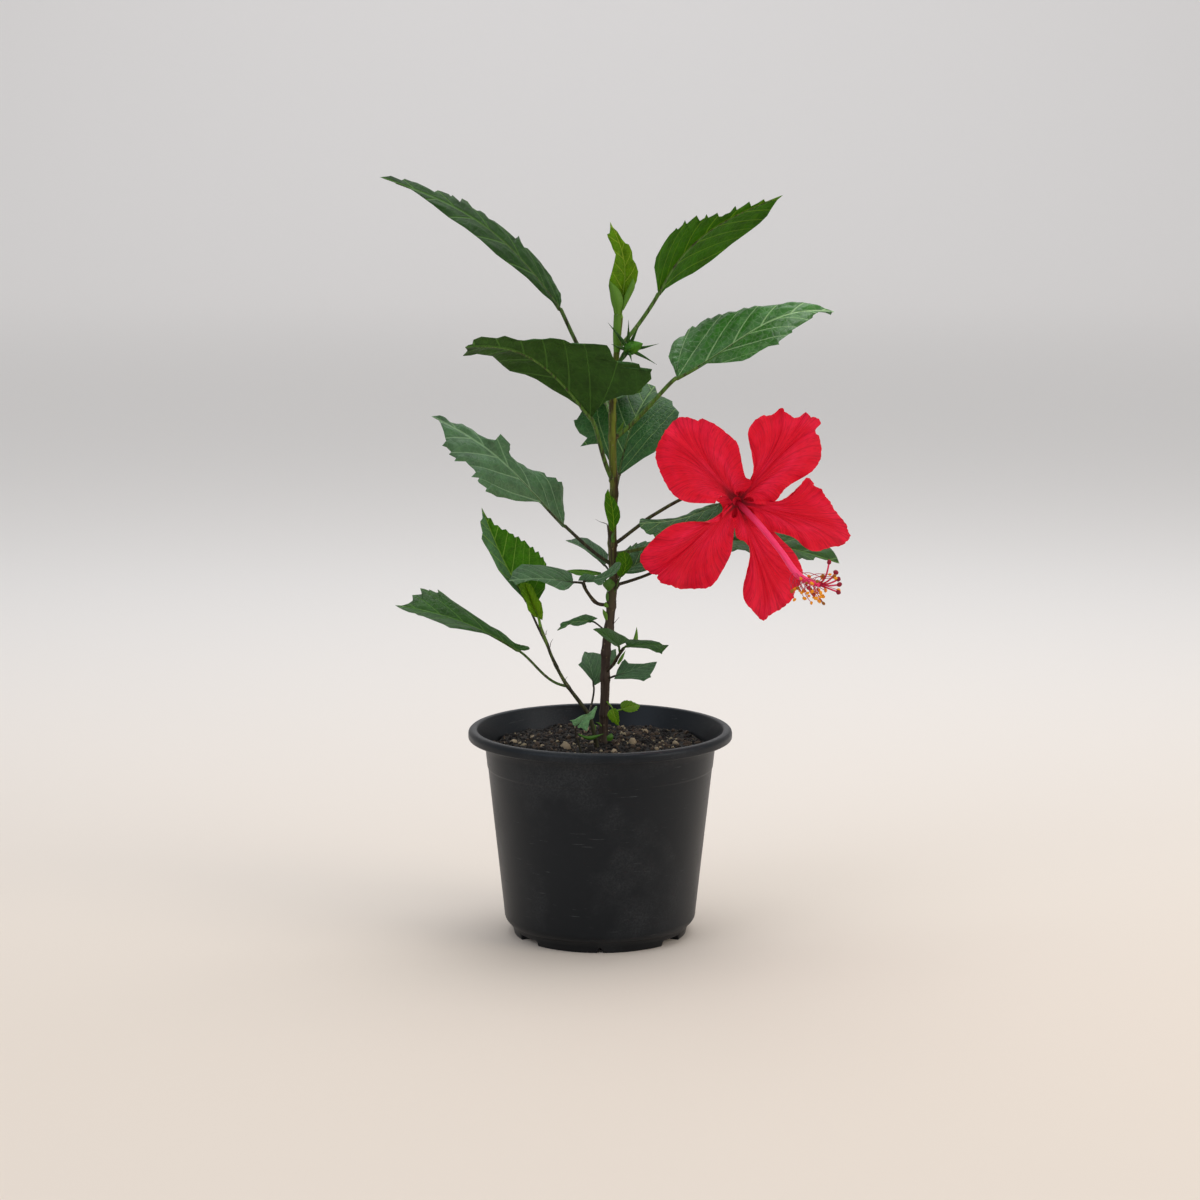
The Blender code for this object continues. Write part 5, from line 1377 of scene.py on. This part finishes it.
def make_throat_floor(radius=12.0, rows=12, sides=48):
    """The red floor behind the claws, which closes the bloom's middle."""
    angle = np.linspace(0, 2 * np.pi, sides, endpoint=False)
    share = np.linspace(0.02, 1, rows)[:, None]
    # It reaches further on the right, and its lobe on the left fills the gap by two claws.
    lobe = 0.32 * np.exp(-((angle - np.radians(176)) / 0.17) ** 2)
    reach = radius * share * (1 + 0.2 * np.cos(angle + 0.3) + lobe)
    dip = -1.2 + 3.4 * share + np.zeros(sides)
    front = on_dish(reach * np.cos(angle), reach * np.sin(angle), dip)
    back = on_dish(reach[::-1] * np.cos(angle), reach[::-1] * np.sin(angle), dip[::-1] - 0.6)
    points = np.concatenate([front, back])
    faces = quads(2 * rows, sides, True)
    ring = faces // sides
    outwards = 0.10 + 0.3 * np.minimum(ring, 2 * rows - 1 - ring) / rows
    net = Net()
    net.add(points.reshape(-1, 3), faces.tolist(), 0,
            blade=np.stack([faces % sides / sides, outwards], -1))
    return net.piece("throat_floor", [petal_velvet], "petal")


for name, petal in PETALS.items():
    make_petal(name, petal)
make_throat_floor()
print("petals:", len(PETALS))

# %% [markdown]
# ## Tiny things, joined by kind
# Anthers, stigmas and crumbs of soil are all small lumps. One lump is a ball of a few
# faces, pulled out of round. Thousands of objects would slow everything down, so each
# kind is gathered into one mesh with one plain colour.

# %% Lumps
import bmesh


def ball(subdivisions):
    work = bmesh.new()
    bmesh.ops.create_icosphere(work, subdivisions=subdivisions, radius=1.0)
    points = np.array([v.co[:] for v in work.verts])
    faces = [[v.index for v in f.verts] for f in work.faces]
    work.free()
    return points, faces


COARSE_BALL, FINE_BALL = ball(1), ball(2)
print("faces of a lump:", len(COARSE_BALL[1]), "or", len(FINE_BALL[1]))


def turned(rng):
    """A random rotation."""
    q = rng.normal(size=4)
    w, x, y, z = q / np.linalg.norm(q)
    return np.array([[1 - 2 * (y * y + z * z), 2 * (x * y - z * w), 2 * (x * z + y * w)],
                     [2 * (x * y + z * w), 1 - 2 * (x * x + z * z), 2 * (y * z - x * w)],
                     [2 * (x * z - y * w), 2 * (y * z + x * w), 1 - 2 * (x * x + y * y)]])


def add_lump(net, middle, size, rng, shape=(1, 1, 1), rough=0.0, kind=COARSE_BALL):
    points, faces = kind
    pulled = points * (1 + rough * rng.uniform(-1, 1, (len(points), 1))) * np.asarray(shape)
    net.add(np.asarray(middle) + size * pulled @ turned(rng).T, faces)


def plain_net_piece(net, name, material, slot, **rest):
    """A piece of one plain colour, which needs none of the net's maps."""
    net.corners = {}
    return net.piece(name, [material], slot, **rest)


# %% Column, anthers and stigmas
COLUMN_PATH = ((100, -30, 272), (113, -45, 257), (124, -56, 243), (137, -64, 238))
COLUMN_RADII = (2.1, 1.95, 1.9, 2.3, 1.4)
STIGMAS = ((142, -66, 253), (146, -69, 247), (148, -64, 242), (148, -73, 240), (148, -66, 234))
STYLE_RADIUS, STIGMA_RADIUS, THREAD_RADIUS = 0.55, 1.7, 0.22
ANTHERS = 46
ANTHERS_FROM, ANTHERS_SPAN = 0.70, 0.30  # shares of the column's length
ANTHER_REACH = 9.0
ANTHER_DROOP = 0.65  # threads lean downwards


def column_material():
    made, tree, shader = new_material(
        "Column, waxy pink", "#f43c66", Roughness=0.45, Specular_IOR_Level=0.2,
        Subsurface_Weight=0.15, Subsurface_Radius=(1.2 * MM, 0.4 * MM, 0.4 * MM))
    place = add_node(tree, "UVMap", uv_map="blade").outputs[0]
    along = add_node(tree, "SeparateXYZ", {"Vector": place}).outputs["Y"]
    drawn = add_node(tree, "Mapping", {"Vector": place, "Scale": (9.0, 1.2, 1.0)})
    streaks = add_node(tree, "TexNoise", {
        "Vector": drawn.outputs["Vector"], "Scale": 1.6, "Detail": 4.0})
    share = add_node(tree, "MapRange", {
        "Value": streaks.outputs["Fac"], "From Min": 0.4, "From Max": 0.7})
    mixed = add_node(tree, "Mix", {
        FACTOR: share.outputs[0], COLOUR_A: linear("#ff4c80"), COLOUR_B: linear("#fb2058")},
        data_type="RGBA")
    # The first 20 mm, deep in the throat, are as red as the petals.
    out = add_node(tree, "MapRange", {"Value": along, "From Min": 0.02, "From Max": 0.24})
    blushed = add_node(tree, "Mix", {
        FACTOR: out.outputs[0], COLOUR_A: linear("#a80826"), COLOUR_B: mixed.outputs[MIXED]},
        data_type="RGBA")
    tree.links.new(blushed.outputs[MIXED], shader.inputs["Base Color"])
    return made


column_pink = column_material()
thread_red = new_material("Anther thread, crimson", "#b8103c", Roughness=0.5)[0]
pollen = new_material("Pollen, orange", "#f29a12", Roughness=0.85)[0]
spent_pollen = new_material("Spent anther, brown", "#9a5e0e", Roughness=0.85)[0]
stigma_velvet = new_material("Stigma velvet, dark red", "#8c0024", Roughness=0.8)[0]


def make_column():
    start = THROAT - BLOOM_AXIS * 1.0
    path = smooth_path([start, *COLUMN_PATH], 14)
    radii = np.interp(np.linspace(0, 1, len(path)), np.linspace(0, 1, len(COLUMN_RADII)), COLUMN_RADII)
    net = Net()
    add_tube(net, path, radii, 24, round_end=1.0,
             relief=lambda distance, angle, radius: 0.05 * radius * np.cos(5 * angle))
    rng = np.random.default_rng(7)
    for stigma in STIGMAS:
        bend = path[-6] + (path[-1] - path[-6]) * 1.6
        style = bezier(path[-6], bend, bend * 0.4 + np.asarray(stigma) * 0.6, np.asarray(stigma), 9)
        add_tube(net, style, np.full(9, STYLE_RADIUS), 7)
    net.piece("column_tube", [column_pink], "column", stands_for=("stamen_column",))

    pads, threads, fresh, spent = Net(), Net(), Net(), Net()
    for stigma in STIGMAS:
        add_lump(pads, stigma, STIGMA_RADIUS, rng, shape=(1, 1, 0.8), rough=0.10, kind=FINE_BALL)
    along = tangents(path)
    for k in range(ANTHERS):
        share = ANTHERS_FROM + ANTHERS_SPAN * (k + rng.uniform()) / ANTHERS
        index = int(share * (len(path) - 1))
        side = unit(np.cross(along[index], (0, 0, 1)))
        up = np.cross(side, along[index])
        angle = 2.4 * k + rng.uniform(-0.3, 0.3)
        outward = unit(np.cos(angle) * side + np.sin(angle) * up - ANTHER_DROOP * np.array([0, 0, 1]))
        root = path[index] + outward * radii[index] * 0.8
        reach = ANTHER_REACH * rng.uniform(0.55, 1.25)
        end = root + outward * reach + along[index] * reach * 0.7
        bend = root + outward * reach * 0.6
        add_tube(threads, bezier(root, bend, bend, end, 6), np.full(6, THREAD_RADIUS), 5)
        add_lump(fresh if k % 4 else spent, end, rng.uniform(0.95, 1.35), rng, shape=(1.2, 0.9, 0.8),
                 rough=0.12, kind=FINE_BALL)
    plain_net_piece(pads, "stigma_pads", stigma_velvet, "column")
    plain_net_piece(threads, "anther_threads", thread_red, "column")
    plain_net_piece(fresh, "anthers_fresh", pollen, "column")
    plain_net_piece(spent, "anthers_spent", spent_pollen, "column")


make_column()
print("anthers:", ANTHERS, "stigmas:", len(STIGMAS))

# %% [markdown]
# ## Calyx and bud
# The calyx is a cup of five pointed sepals. A lathe would give a plain cup. Here a
# ring's height also depends on its angle, which draws the five points out of it. The bud
# near the top is still shut, and narrow bracts stand round it.

# %% Calyx and bud
CALYX_LENGTH = 13.0
CUP_LENGTH, SEPALS, SEPAL_DEPTH = 10.5, 5, 0.42  # depth as a share of the cup's length
CUP_PROFILE = ([0, 0.05, 0.3, 0.7, 1.0], [1.2, 2.6, 4.4, 5.2, 6.6])
CALYX_BRACTS = 7
CALYX_BRACT_RADII = (0.9, 0.95, 0.9, 0.8, 0.65, 0.5, 0.3, 0.1)
BUD_NODE = ("main_stem", 243)
BUD_FOOT, BUD_TIP = (15.5, -5.0, 379.0), (27.0, -11.0, 384.0)
BUD_RADIUS, BUD_STALK_RADIUS = 4.2, 1.3
BUD_PROFILE = ([0, 0.12, 0.35, 0.6, 0.85, 1.0], [0.35, 0.8, 1.0, 0.9, 0.45, 0.04])
BUD_BRACT_RADII = (0.9, 1.15, 1.2, 1.15, 1.0, 0.85, 0.65, 0.45, 0.25, 0.06)
BRACT_TIPS = ((5, -9, 397), (18, -12, 399), (25, -13, 396), (37, -12, 384), (36, -16, 371),
              (7, -14, 384), (20, -18, 373), (13, -14, 372))

calyx_green = bark_material("Sepal green", "#4c7a26", "#557f2a", 0, 400, "#3a5f20", 0.5)
bud_green = bark_material("Bud green", "#4c8a16", "#427c12", 0, 400, "#2c5c0c", 0.5)
bract_green = bark_material("Bract green", "#33601c", "#2f5818", 0, 400, "#20400c", 0.5)


def add_cup(net, foot, axis, length, profile, lobes, depth, thickness=0.5, sides=60):
    """A cup of pointed lobes. profile gives its radius at shares of its length."""
    side = unit(np.cross(axis, (0.1, 0.3, 1.0)))
    up = np.cross(axis, side)
    angle = 2 * np.pi * np.arange(sides) / sides
    lobe = np.abs(np.cos(lobes * angle / 2)) ** 0.8
    reach = 1 - depth * (1 - lobe)
    shares = np.linspace(0, 1, 14)
    shares_all = np.concatenate([shares, shares[::-1]])
    rings = []
    for k, share in enumerate(shares_all):
        inner = k >= len(shares)
        radius = np.interp(share * reach, *profile) * (1 + 0.05 * np.cos(lobes * angle))
        radius = np.maximum(radius - (thickness if inner else 0), 0.05)
        rings.append(foot + axis * (length * share * reach)[:, None] + radius[:, None] * (
            np.cos(angle)[:, None] * side + np.sin(angle)[:, None] * up))
    faces = quads(len(rings), sides, True)
    net.add(np.vstack(rings), faces.tolist())


def make_calyx():
    net = Net()
    foot = THROAT - BLOOM_AXIS * CALYX_LENGTH
    add_cup(net, foot, BLOOM_AXIS, CUP_LENGTH, CUP_PROFILE, SEPALS, SEPAL_DEPTH)
    side = unit(np.cross(BLOOM_AXIS, (0, 0, 1)))
    up = np.cross(BLOOM_AXIS, side)
    for k in range(CALYX_BRACTS):
        angle = 2 * np.pi * k / CALYX_BRACTS
        outward = np.cos(angle) * side + np.sin(angle) * up
        start = foot + BLOOM_AXIS * 1.0 + outward * 2.0
        end = start + outward * 6 + BLOOM_AXIS * 7
        add_tube(net, bezier(start, start + outward * 4, end - BLOOM_AXIS * 3, end, 8),
                 np.array(CALYX_BRACT_RADII), 6)
    return plain_net_piece(net, "calyx_cup", calyx_green, "leaf", stands_for=("calyx",))


def make_bud():
    net = Net()
    foot, tip = np.asarray(BUD_FOOT), np.asarray(BUD_TIP)
    shares = np.linspace(0, 1, 18)
    path = foot + (tip - foot) * shares[:, None]
    radii = BUD_RADIUS * np.interp(shares, *BUD_PROFILE)
    body = Net()
    add_tube(body, path, radii, 30,
             relief=lambda distance, angle, radius: 0.09 * radius * np.cos(5 * angle))
    plain_net_piece(body, "flower_bud_body", bud_green, "young", stands_for=("flower_bud",))
    stalk_foot, _ = foot_on(BUD_NODE, foot)
    heart = foot + (tip - foot) * 0.2
    add_tube(net, bezier(stalk_foot, stalk_foot + (foot - stalk_foot) * 0.5, foot, heart, 8),
             np.full(8, BUD_STALK_RADIUS), 12)
    for k, end in enumerate(BRACT_TIPS):
        end = np.asarray(end, float)
        middle = heart + (end - heart) * 0.5 + np.array([0, 0, 0.8 * (-1) ** k])
        add_tube(net, bezier(heart, middle, middle, end, 10),
                 np.array(BUD_BRACT_RADII), 6)
    return plain_net_piece(net, "flower_bud_green", bract_green, "young", stands_for=("flower_bud",))


make_calyx()
make_bud()
print("bracts:", CALYX_BRACTS, "round the calyx and", len(BRACT_TIPS), "round the bud")

# %% [markdown]
# ## The pot
# Pots like this are moulded from polypropylene, coloured with carbon black. The wall is
# thin, and the pot narrows downwards. A rolled lip stiffens the mouth, a faint
# step below the lip stops stacked pots from jamming, and the foot ring has gaps for the
# water. All of that is one profile turned on a lathe, with the foot ring lifted where
# the gaps are. A mould leaves a fine matt skin, and a used pot adds scuffs and dust.

# %% Pot plastic
def pot_material():
    made, tree, shader = new_material(
        "Black polypropylene, moulded", "#0d0e10", Roughness=0.42, Specular_IOR_Level=0.30,
        Specular_Tint=(0.78, 0.88, 1.0, 1.0))
    place = add_node(tree, "TexCoord").outputs["Object"]
    # Dust lies in clouds about 60 mm across, broken up by grains of under a millimetre.
    clouds = add_node(tree, "TexNoise", {
        "Vector": place, "Scale": 1 / (60 * MM), "Detail": 4.0, "Roughness": 0.6})
    grains = add_node(tree, "TexNoise", {"Vector": place, "Scale": 1 / (1.1 * MM), "Detail": 2.0})
    dusty = add_node(tree, "MapRange", {
        "Value": clouds.outputs["Fac"], "From Min": 0.50, "From Max": 0.74, "To Max": 0.8})
    grainy = add_node(tree, "MapRange", {
        "Value": grains.outputs["Fac"], "From Min": 0.35, "From Max": 0.75, "To Min": 0.15})
    dust = add_node(tree, "Math", {0: dusty.outputs[0], 1: grainy.outputs[0]}, operation="MULTIPLY")
    # Scuffs are short level scratches, about 0.5 mm high and up to 15 mm long.
    drawn = add_node(tree, "Mapping", {"Vector": place, "Scale": (1.0, 1.0, 14.0)})
    scratch = add_node(tree, "TexNoise", {
        "Vector": drawn.outputs["Vector"], "Scale": 1 / (16 * MM), "Detail": 6.0, "Roughness": 0.65})
    marked = add_node(tree, "MapRange", {
        "Value": scratch.outputs["Fac"], "From Min": 0.64, "From Max": 0.68, "To Max": 0.9})
    worn = add_node(tree, "Math", {0: dust.outputs[0], 1: marked.outputs[0]}, operation="MAXIMUM")
    colour = add_node(tree, "Mix", {
        FACTOR: worn.outputs[0], COLOUR_A: linear("#0c0d0f"), COLOUR_B: linear("#3b3c3d")},
        data_type="RGBA")
    tree.links.new(colour.outputs[MIXED], shader.inputs["Base Color"])
    rough = add_node(tree, "MapRange", {"Value": worn.outputs[0], "To Min": 0.40, "To Max": 0.75})
    tree.links.new(rough.outputs[0], shader.inputs["Roughness"])
    bump = add_node(tree, "Bump", {
        "Height": grains.outputs["Fac"], "Strength": 0.25, "Distance": 0.12 * MM})
    tree.links.new(bump.outputs["Normal"], shader.inputs["Normal"])
    return made


pot_plastic = pot_material()
print("material:", pot_plastic.name)

# %% Turning the pot
POT_HEIGHT, LIP_RADIUS, LIP_HEIGHT, MOUTH_RADIUS = 135.0, 85.0, 6.5, 79.0
BODY_TOP_RADIUS, BODY_FOOT_RADIUS, FOOT_RADIUS, CORNER_HEIGHT, WALL = 75.0, 62.0, 56.0, 12.0, 1.8
RECESS_INNER, RECESS_OUTER, RECESS_DEPTH, FLOOR_TOP = 22.0, 48.0, 2.5, 5.0
DRAIN_HEIGHT = 3.5
# Each gap: its angle in degrees and half its width in millimetres.
DRAIN_GAPS = [(angle, 9.0) for angle in (-35, -145, 35, 145)] + [(-90, 1.3), (90, 1.3)]
STEP_HEIGHT = 110.0
POT_SIDES = 360


def wall_radius(height):
    """The outside of the wall, with the small step below the lip."""
    share = (height - CORNER_HEIGHT) / (POT_HEIGHT - CORNER_HEIGHT)
    radius = BODY_FOOT_RADIUS + (BODY_TOP_RADIUS - BODY_FOOT_RADIUS) * share
    return radius + 0.35 * smoothstep(STEP_HEIGHT - 0.7, STEP_HEIGHT + 0.7, height)


def arc(middle, radius, start, end, steps):
    angle = np.radians(np.linspace(start, end, steps))
    return [(middle[0] + radius * np.cos(a), middle[1] + radius * np.sin(a)) for a in angle]


def pot_profile():
    """Radius and height from the middle of the underside, up the outside, down the inside."""
    under = POT_HEIGHT - LIP_HEIGHT
    outside = [(0, 0), (RECESS_INNER, 0), (RECESS_INNER + 1, RECESS_DEPTH),
               (RECESS_OUTER - 1, RECESS_DEPTH), (RECESS_OUTER, 0.3), (RECESS_OUTER + 0.4, 0),
               (FOOT_RADIUS - 0.5, 0), (FOOT_RADIUS, 0.5), (FOOT_RADIUS + 0.8, 4.2),
               (FOOT_RADIUS + 1.4, 5.0)]
    outside += arc((FOOT_RADIUS - 1.0, CORNER_HEIGHT + 1.5), 7.2, -62, -6, 9)
    heights = np.concatenate([np.linspace(CORNER_HEIGHT + 2, STEP_HEIGHT - 1.5, 26),
                              np.linspace(STEP_HEIGHT - 1, STEP_HEIGHT + 1, 7),
                              np.linspace(STEP_HEIGHT + 2, under - 4, 5)])
    outside += [(wall_radius(h), h) for h in heights]
    outside += arc((BODY_TOP_RADIUS + 3.0, under - 3.2), 3.2, 178, 95, 6)
    outside += [(LIP_RADIUS - 2.0, under)]
    outside += arc((LIP_RADIUS - 1.3, under + 1.3), 1.3, -90, 0, 5)
    outside += arc((LIP_RADIUS - 3.0, POT_HEIGHT - 3.0), 3.0, 0, 90, 8)
    inside = arc((MOUTH_RADIUS + 1.6, POT_HEIGHT - 1.6), 1.6, 90, 180, 5)
    inside += [(wall_radius(h) - WALL, h) for h in np.linspace(under - 5, CORNER_HEIGHT + 3, 14)]
    inside += [(FOOT_RADIUS - 2, FLOOR_TOP), (0, FLOOR_TOP)]
    return outside + inside


def make_pot():
    profile = np.array(pot_profile())[1:-1]
    angle = 2 * np.pi * np.arange(POT_SIDES) / POT_SIDES
    radius = profile[:, 0][:, None] * np.ones(POT_SIDES)
    height = profile[:, 1][:, None] * np.ones(POT_SIDES)
    # A thin wall is never quite round: it swings by a few tenths of a millimetre.
    free = smoothstep(CORNER_HEIGHT, POT_HEIGHT, height) * (radius > 60)
    radius = radius + 0.30 * free * np.cos(2 * angle + 0.6) + 0.12 * free * np.cos(5 * angle)
    on_ring = (radius > RECESS_OUTER - 0.5) & (radius < FOOT_RADIUS + 1.2) & (height < 4.5)
    for turn, half_width in DRAIN_GAPS:
        off = np.abs((np.degrees(angle) - turn + 180) % 360 - 180) * np.pi / 180 * FOOT_RADIUS
        lift = 1 - smoothstep(half_width - 0.8, half_width + 0.8, off)
        height = np.where(on_ring, np.maximum(height, DRAIN_HEIGHT * lift), height)
    height = np.minimum(height, POT_HEIGHT)
    points = np.stack([radius * np.cos(angle), radius * np.sin(angle), height], -1).reshape(-1, 3)
    rows = len(profile)
    faces = quads(rows, POT_SIDES, True)[:, ::-1].tolist()
    points = np.vstack([points, [(0, 0, 0), (0, 0, FLOOR_TOP)]])
    under, floor_middle = rows * POT_SIDES, rows * POT_SIDES + 1
    last = (rows - 1) * POT_SIDES
    faces += [(k, (k + 1) % POT_SIDES, under) for k in range(POT_SIDES)]
    faces += [(last + (k + 1) % POT_SIDES, last + k, floor_middle) for k in range(POT_SIDES)]
    return make_piece("nursery_pot", points, faces, [pot_plastic], "pot", stands_for=("pot",),
                      crease=40)


pot = make_pot()
print("pot:", len(pot.data.polygons), "faces,", [round(d * 1000) for d in pot.dimensions], "mm")

# %% [markdown]
# ## Potting soil
# Peat and composted bark, dark and crumbly, with grit that shows as tan specks. A flat
# disc with a noisy picture would look like felt from this close. So the surface is a
# net with real hollows, and some thousands of crumbs lie on it, in three plain colours.

# %% Soil surface and crumbs
SOIL_REACH = 71.0
SOIL_EDGE_TOP = 122.0
SKIRT_SHARE, SKIRT_FOOT = 0.965, 100.0  # the soil's side tapers this far down inside the pot
# Each pebble: where it lies and its size. Each kind of crumb: how many, and their sizes.
PEBBLES = ((-56, 4, 3.4), (-22, -18, 4.0), (21, 4, 3.6), (49, 4, 3.2), (-37, -12, 2.4), (9, -35, 2.6),
           (36, -22, 2.2), (-9, 38, 3.0), (-44, 30, 2.4), (30, 40, 2.8))
CRUMBS = {"dark": (1900, (0.7, 2.2)), "bark": (700, (0.8, 2.6)), "grit": (300, (0.6, 1.9))}


def soil_height(x, y):
    """Height of the surface: higher round the stem, with hollows of a few millimetres."""
    r = np.hypot(x, y)
    level = SOIL_EDGE_TOP + (SOIL_TOP - SOIL_EDGE_TOP) * (1 - smoothstep(30, 62, r))
    wide = 1.1 * np.sin(x / 9.0 + 1.3) * np.cos(y / 7.0) + 0.8 * np.sin((x + y) / 5.1 + 0.4)
    small = 0.5 * np.sin(x / 1.9 + np.sin(y / 3.3)) * np.cos(y / 2.1 + 0.7)
    return level + (wide + small) * smoothstep(3, 12, r)


def soil_material():
    made, tree, shader = new_material("Potting soil, peat and bark", "#231a14", Roughness=0.95)
    place = add_node(tree, "TexCoord").outputs["Object"]
    grains = add_node(tree, "TexVoronoi", {"Vector": place, "Scale": 1 / (2.2 * MM)})
    patches = add_node(tree, "TexNoise", {
        "Vector": place, "Scale": 1 / (9 * MM), "Detail": 6.0, "Roughness": 0.7})
    light = add_node(tree, "MapRange", {
        "Value": patches.outputs["Fac"], "From Min": 0.45, "From Max": 0.72})
    mixed = add_node(tree, "Mix", {
        FACTOR: light.outputs[0], COLOUR_A: linear("#14110f"), COLOUR_B: linear("#423a30")},
        data_type="RGBA")
    tree.links.new(mixed.outputs[MIXED], shader.inputs["Base Color"])
    bump = add_node(tree, "Bump", {
        "Height": grains.outputs["Distance"], "Strength": 0.9, "Distance": 1.2 * MM})
    tree.links.new(bump.outputs["Normal"], shader.inputs["Normal"])
    return made


def make_soil(rows=70, sides=220):
    r = np.linspace(0.3, SOIL_REACH, rows)[:, None]
    angle = (2 * np.pi * np.arange(sides) / sides)[None, :]
    x, y = r * np.cos(angle), r * np.sin(angle)
    top = np.stack([x, y, soil_height(x, y)], -1)
    skirt = np.stack([x[-1] * SKIRT_SHARE, y[-1] * SKIRT_SHARE, np.full(sides, SKIRT_FOOT)], -1)[None]
    points = np.concatenate([top, skirt]).reshape(-1, 3)
    faces = quads(rows + 1, sides, True).tolist()
    faces.append(tuple(range(sides))[::-1])
    faces.append(tuple(rows * sides + k for k in range(sides)))
    return make_piece("soil_surface", points, faces, [soil_material()], "soil", stands_for=("soil",))


soil = make_soil()
CRUMB_COLOURS = {"dark": "#191513", "bark": "#43362b", "grit": "#8e8168"}
rng = np.random.default_rng(31)
for kind, (count, sizes) in CRUMBS.items():
    net = Net()
    for _ in range(count):
        r, turn = SOIL_REACH * np.sqrt(rng.uniform(0.0, 0.97)), rng.uniform(0, 2 * np.pi)
        x, y = r * np.cos(turn), r * np.sin(turn)
        size = sizes[0] + (sizes[1] - sizes[0]) * rng.uniform() ** 2.2
        shape = rng.uniform(0.45, 1.0, 3)
        add_lump(net, (x, y, soil_height(x, y) + 0.15 * size), size, rng, shape=shape, rough=0.22)
    colour = new_material(f"Soil crumb, {kind}", CRUMB_COLOURS[kind], Roughness=0.95)[0]
    plain_net_piece(net, f"soil_{kind}", colour, "soil")
pebbles = Net()
for x, y, size in PEBBLES:
    add_lump(pebbles, (x, y, soil_height(x, y) + 0.3 * size), size, rng, shape=(1.0, 0.8, 0.6),
             rough=0.16)
plain_net_piece(pebbles, "soil_pebbles", new_material("Pebble, tan", "#918169", Roughness=0.9)[0],
                "soil")
print("crumbs:", sum(count for count, _ in CRUMBS.values()), "pebbles:", len(PEBBLES))
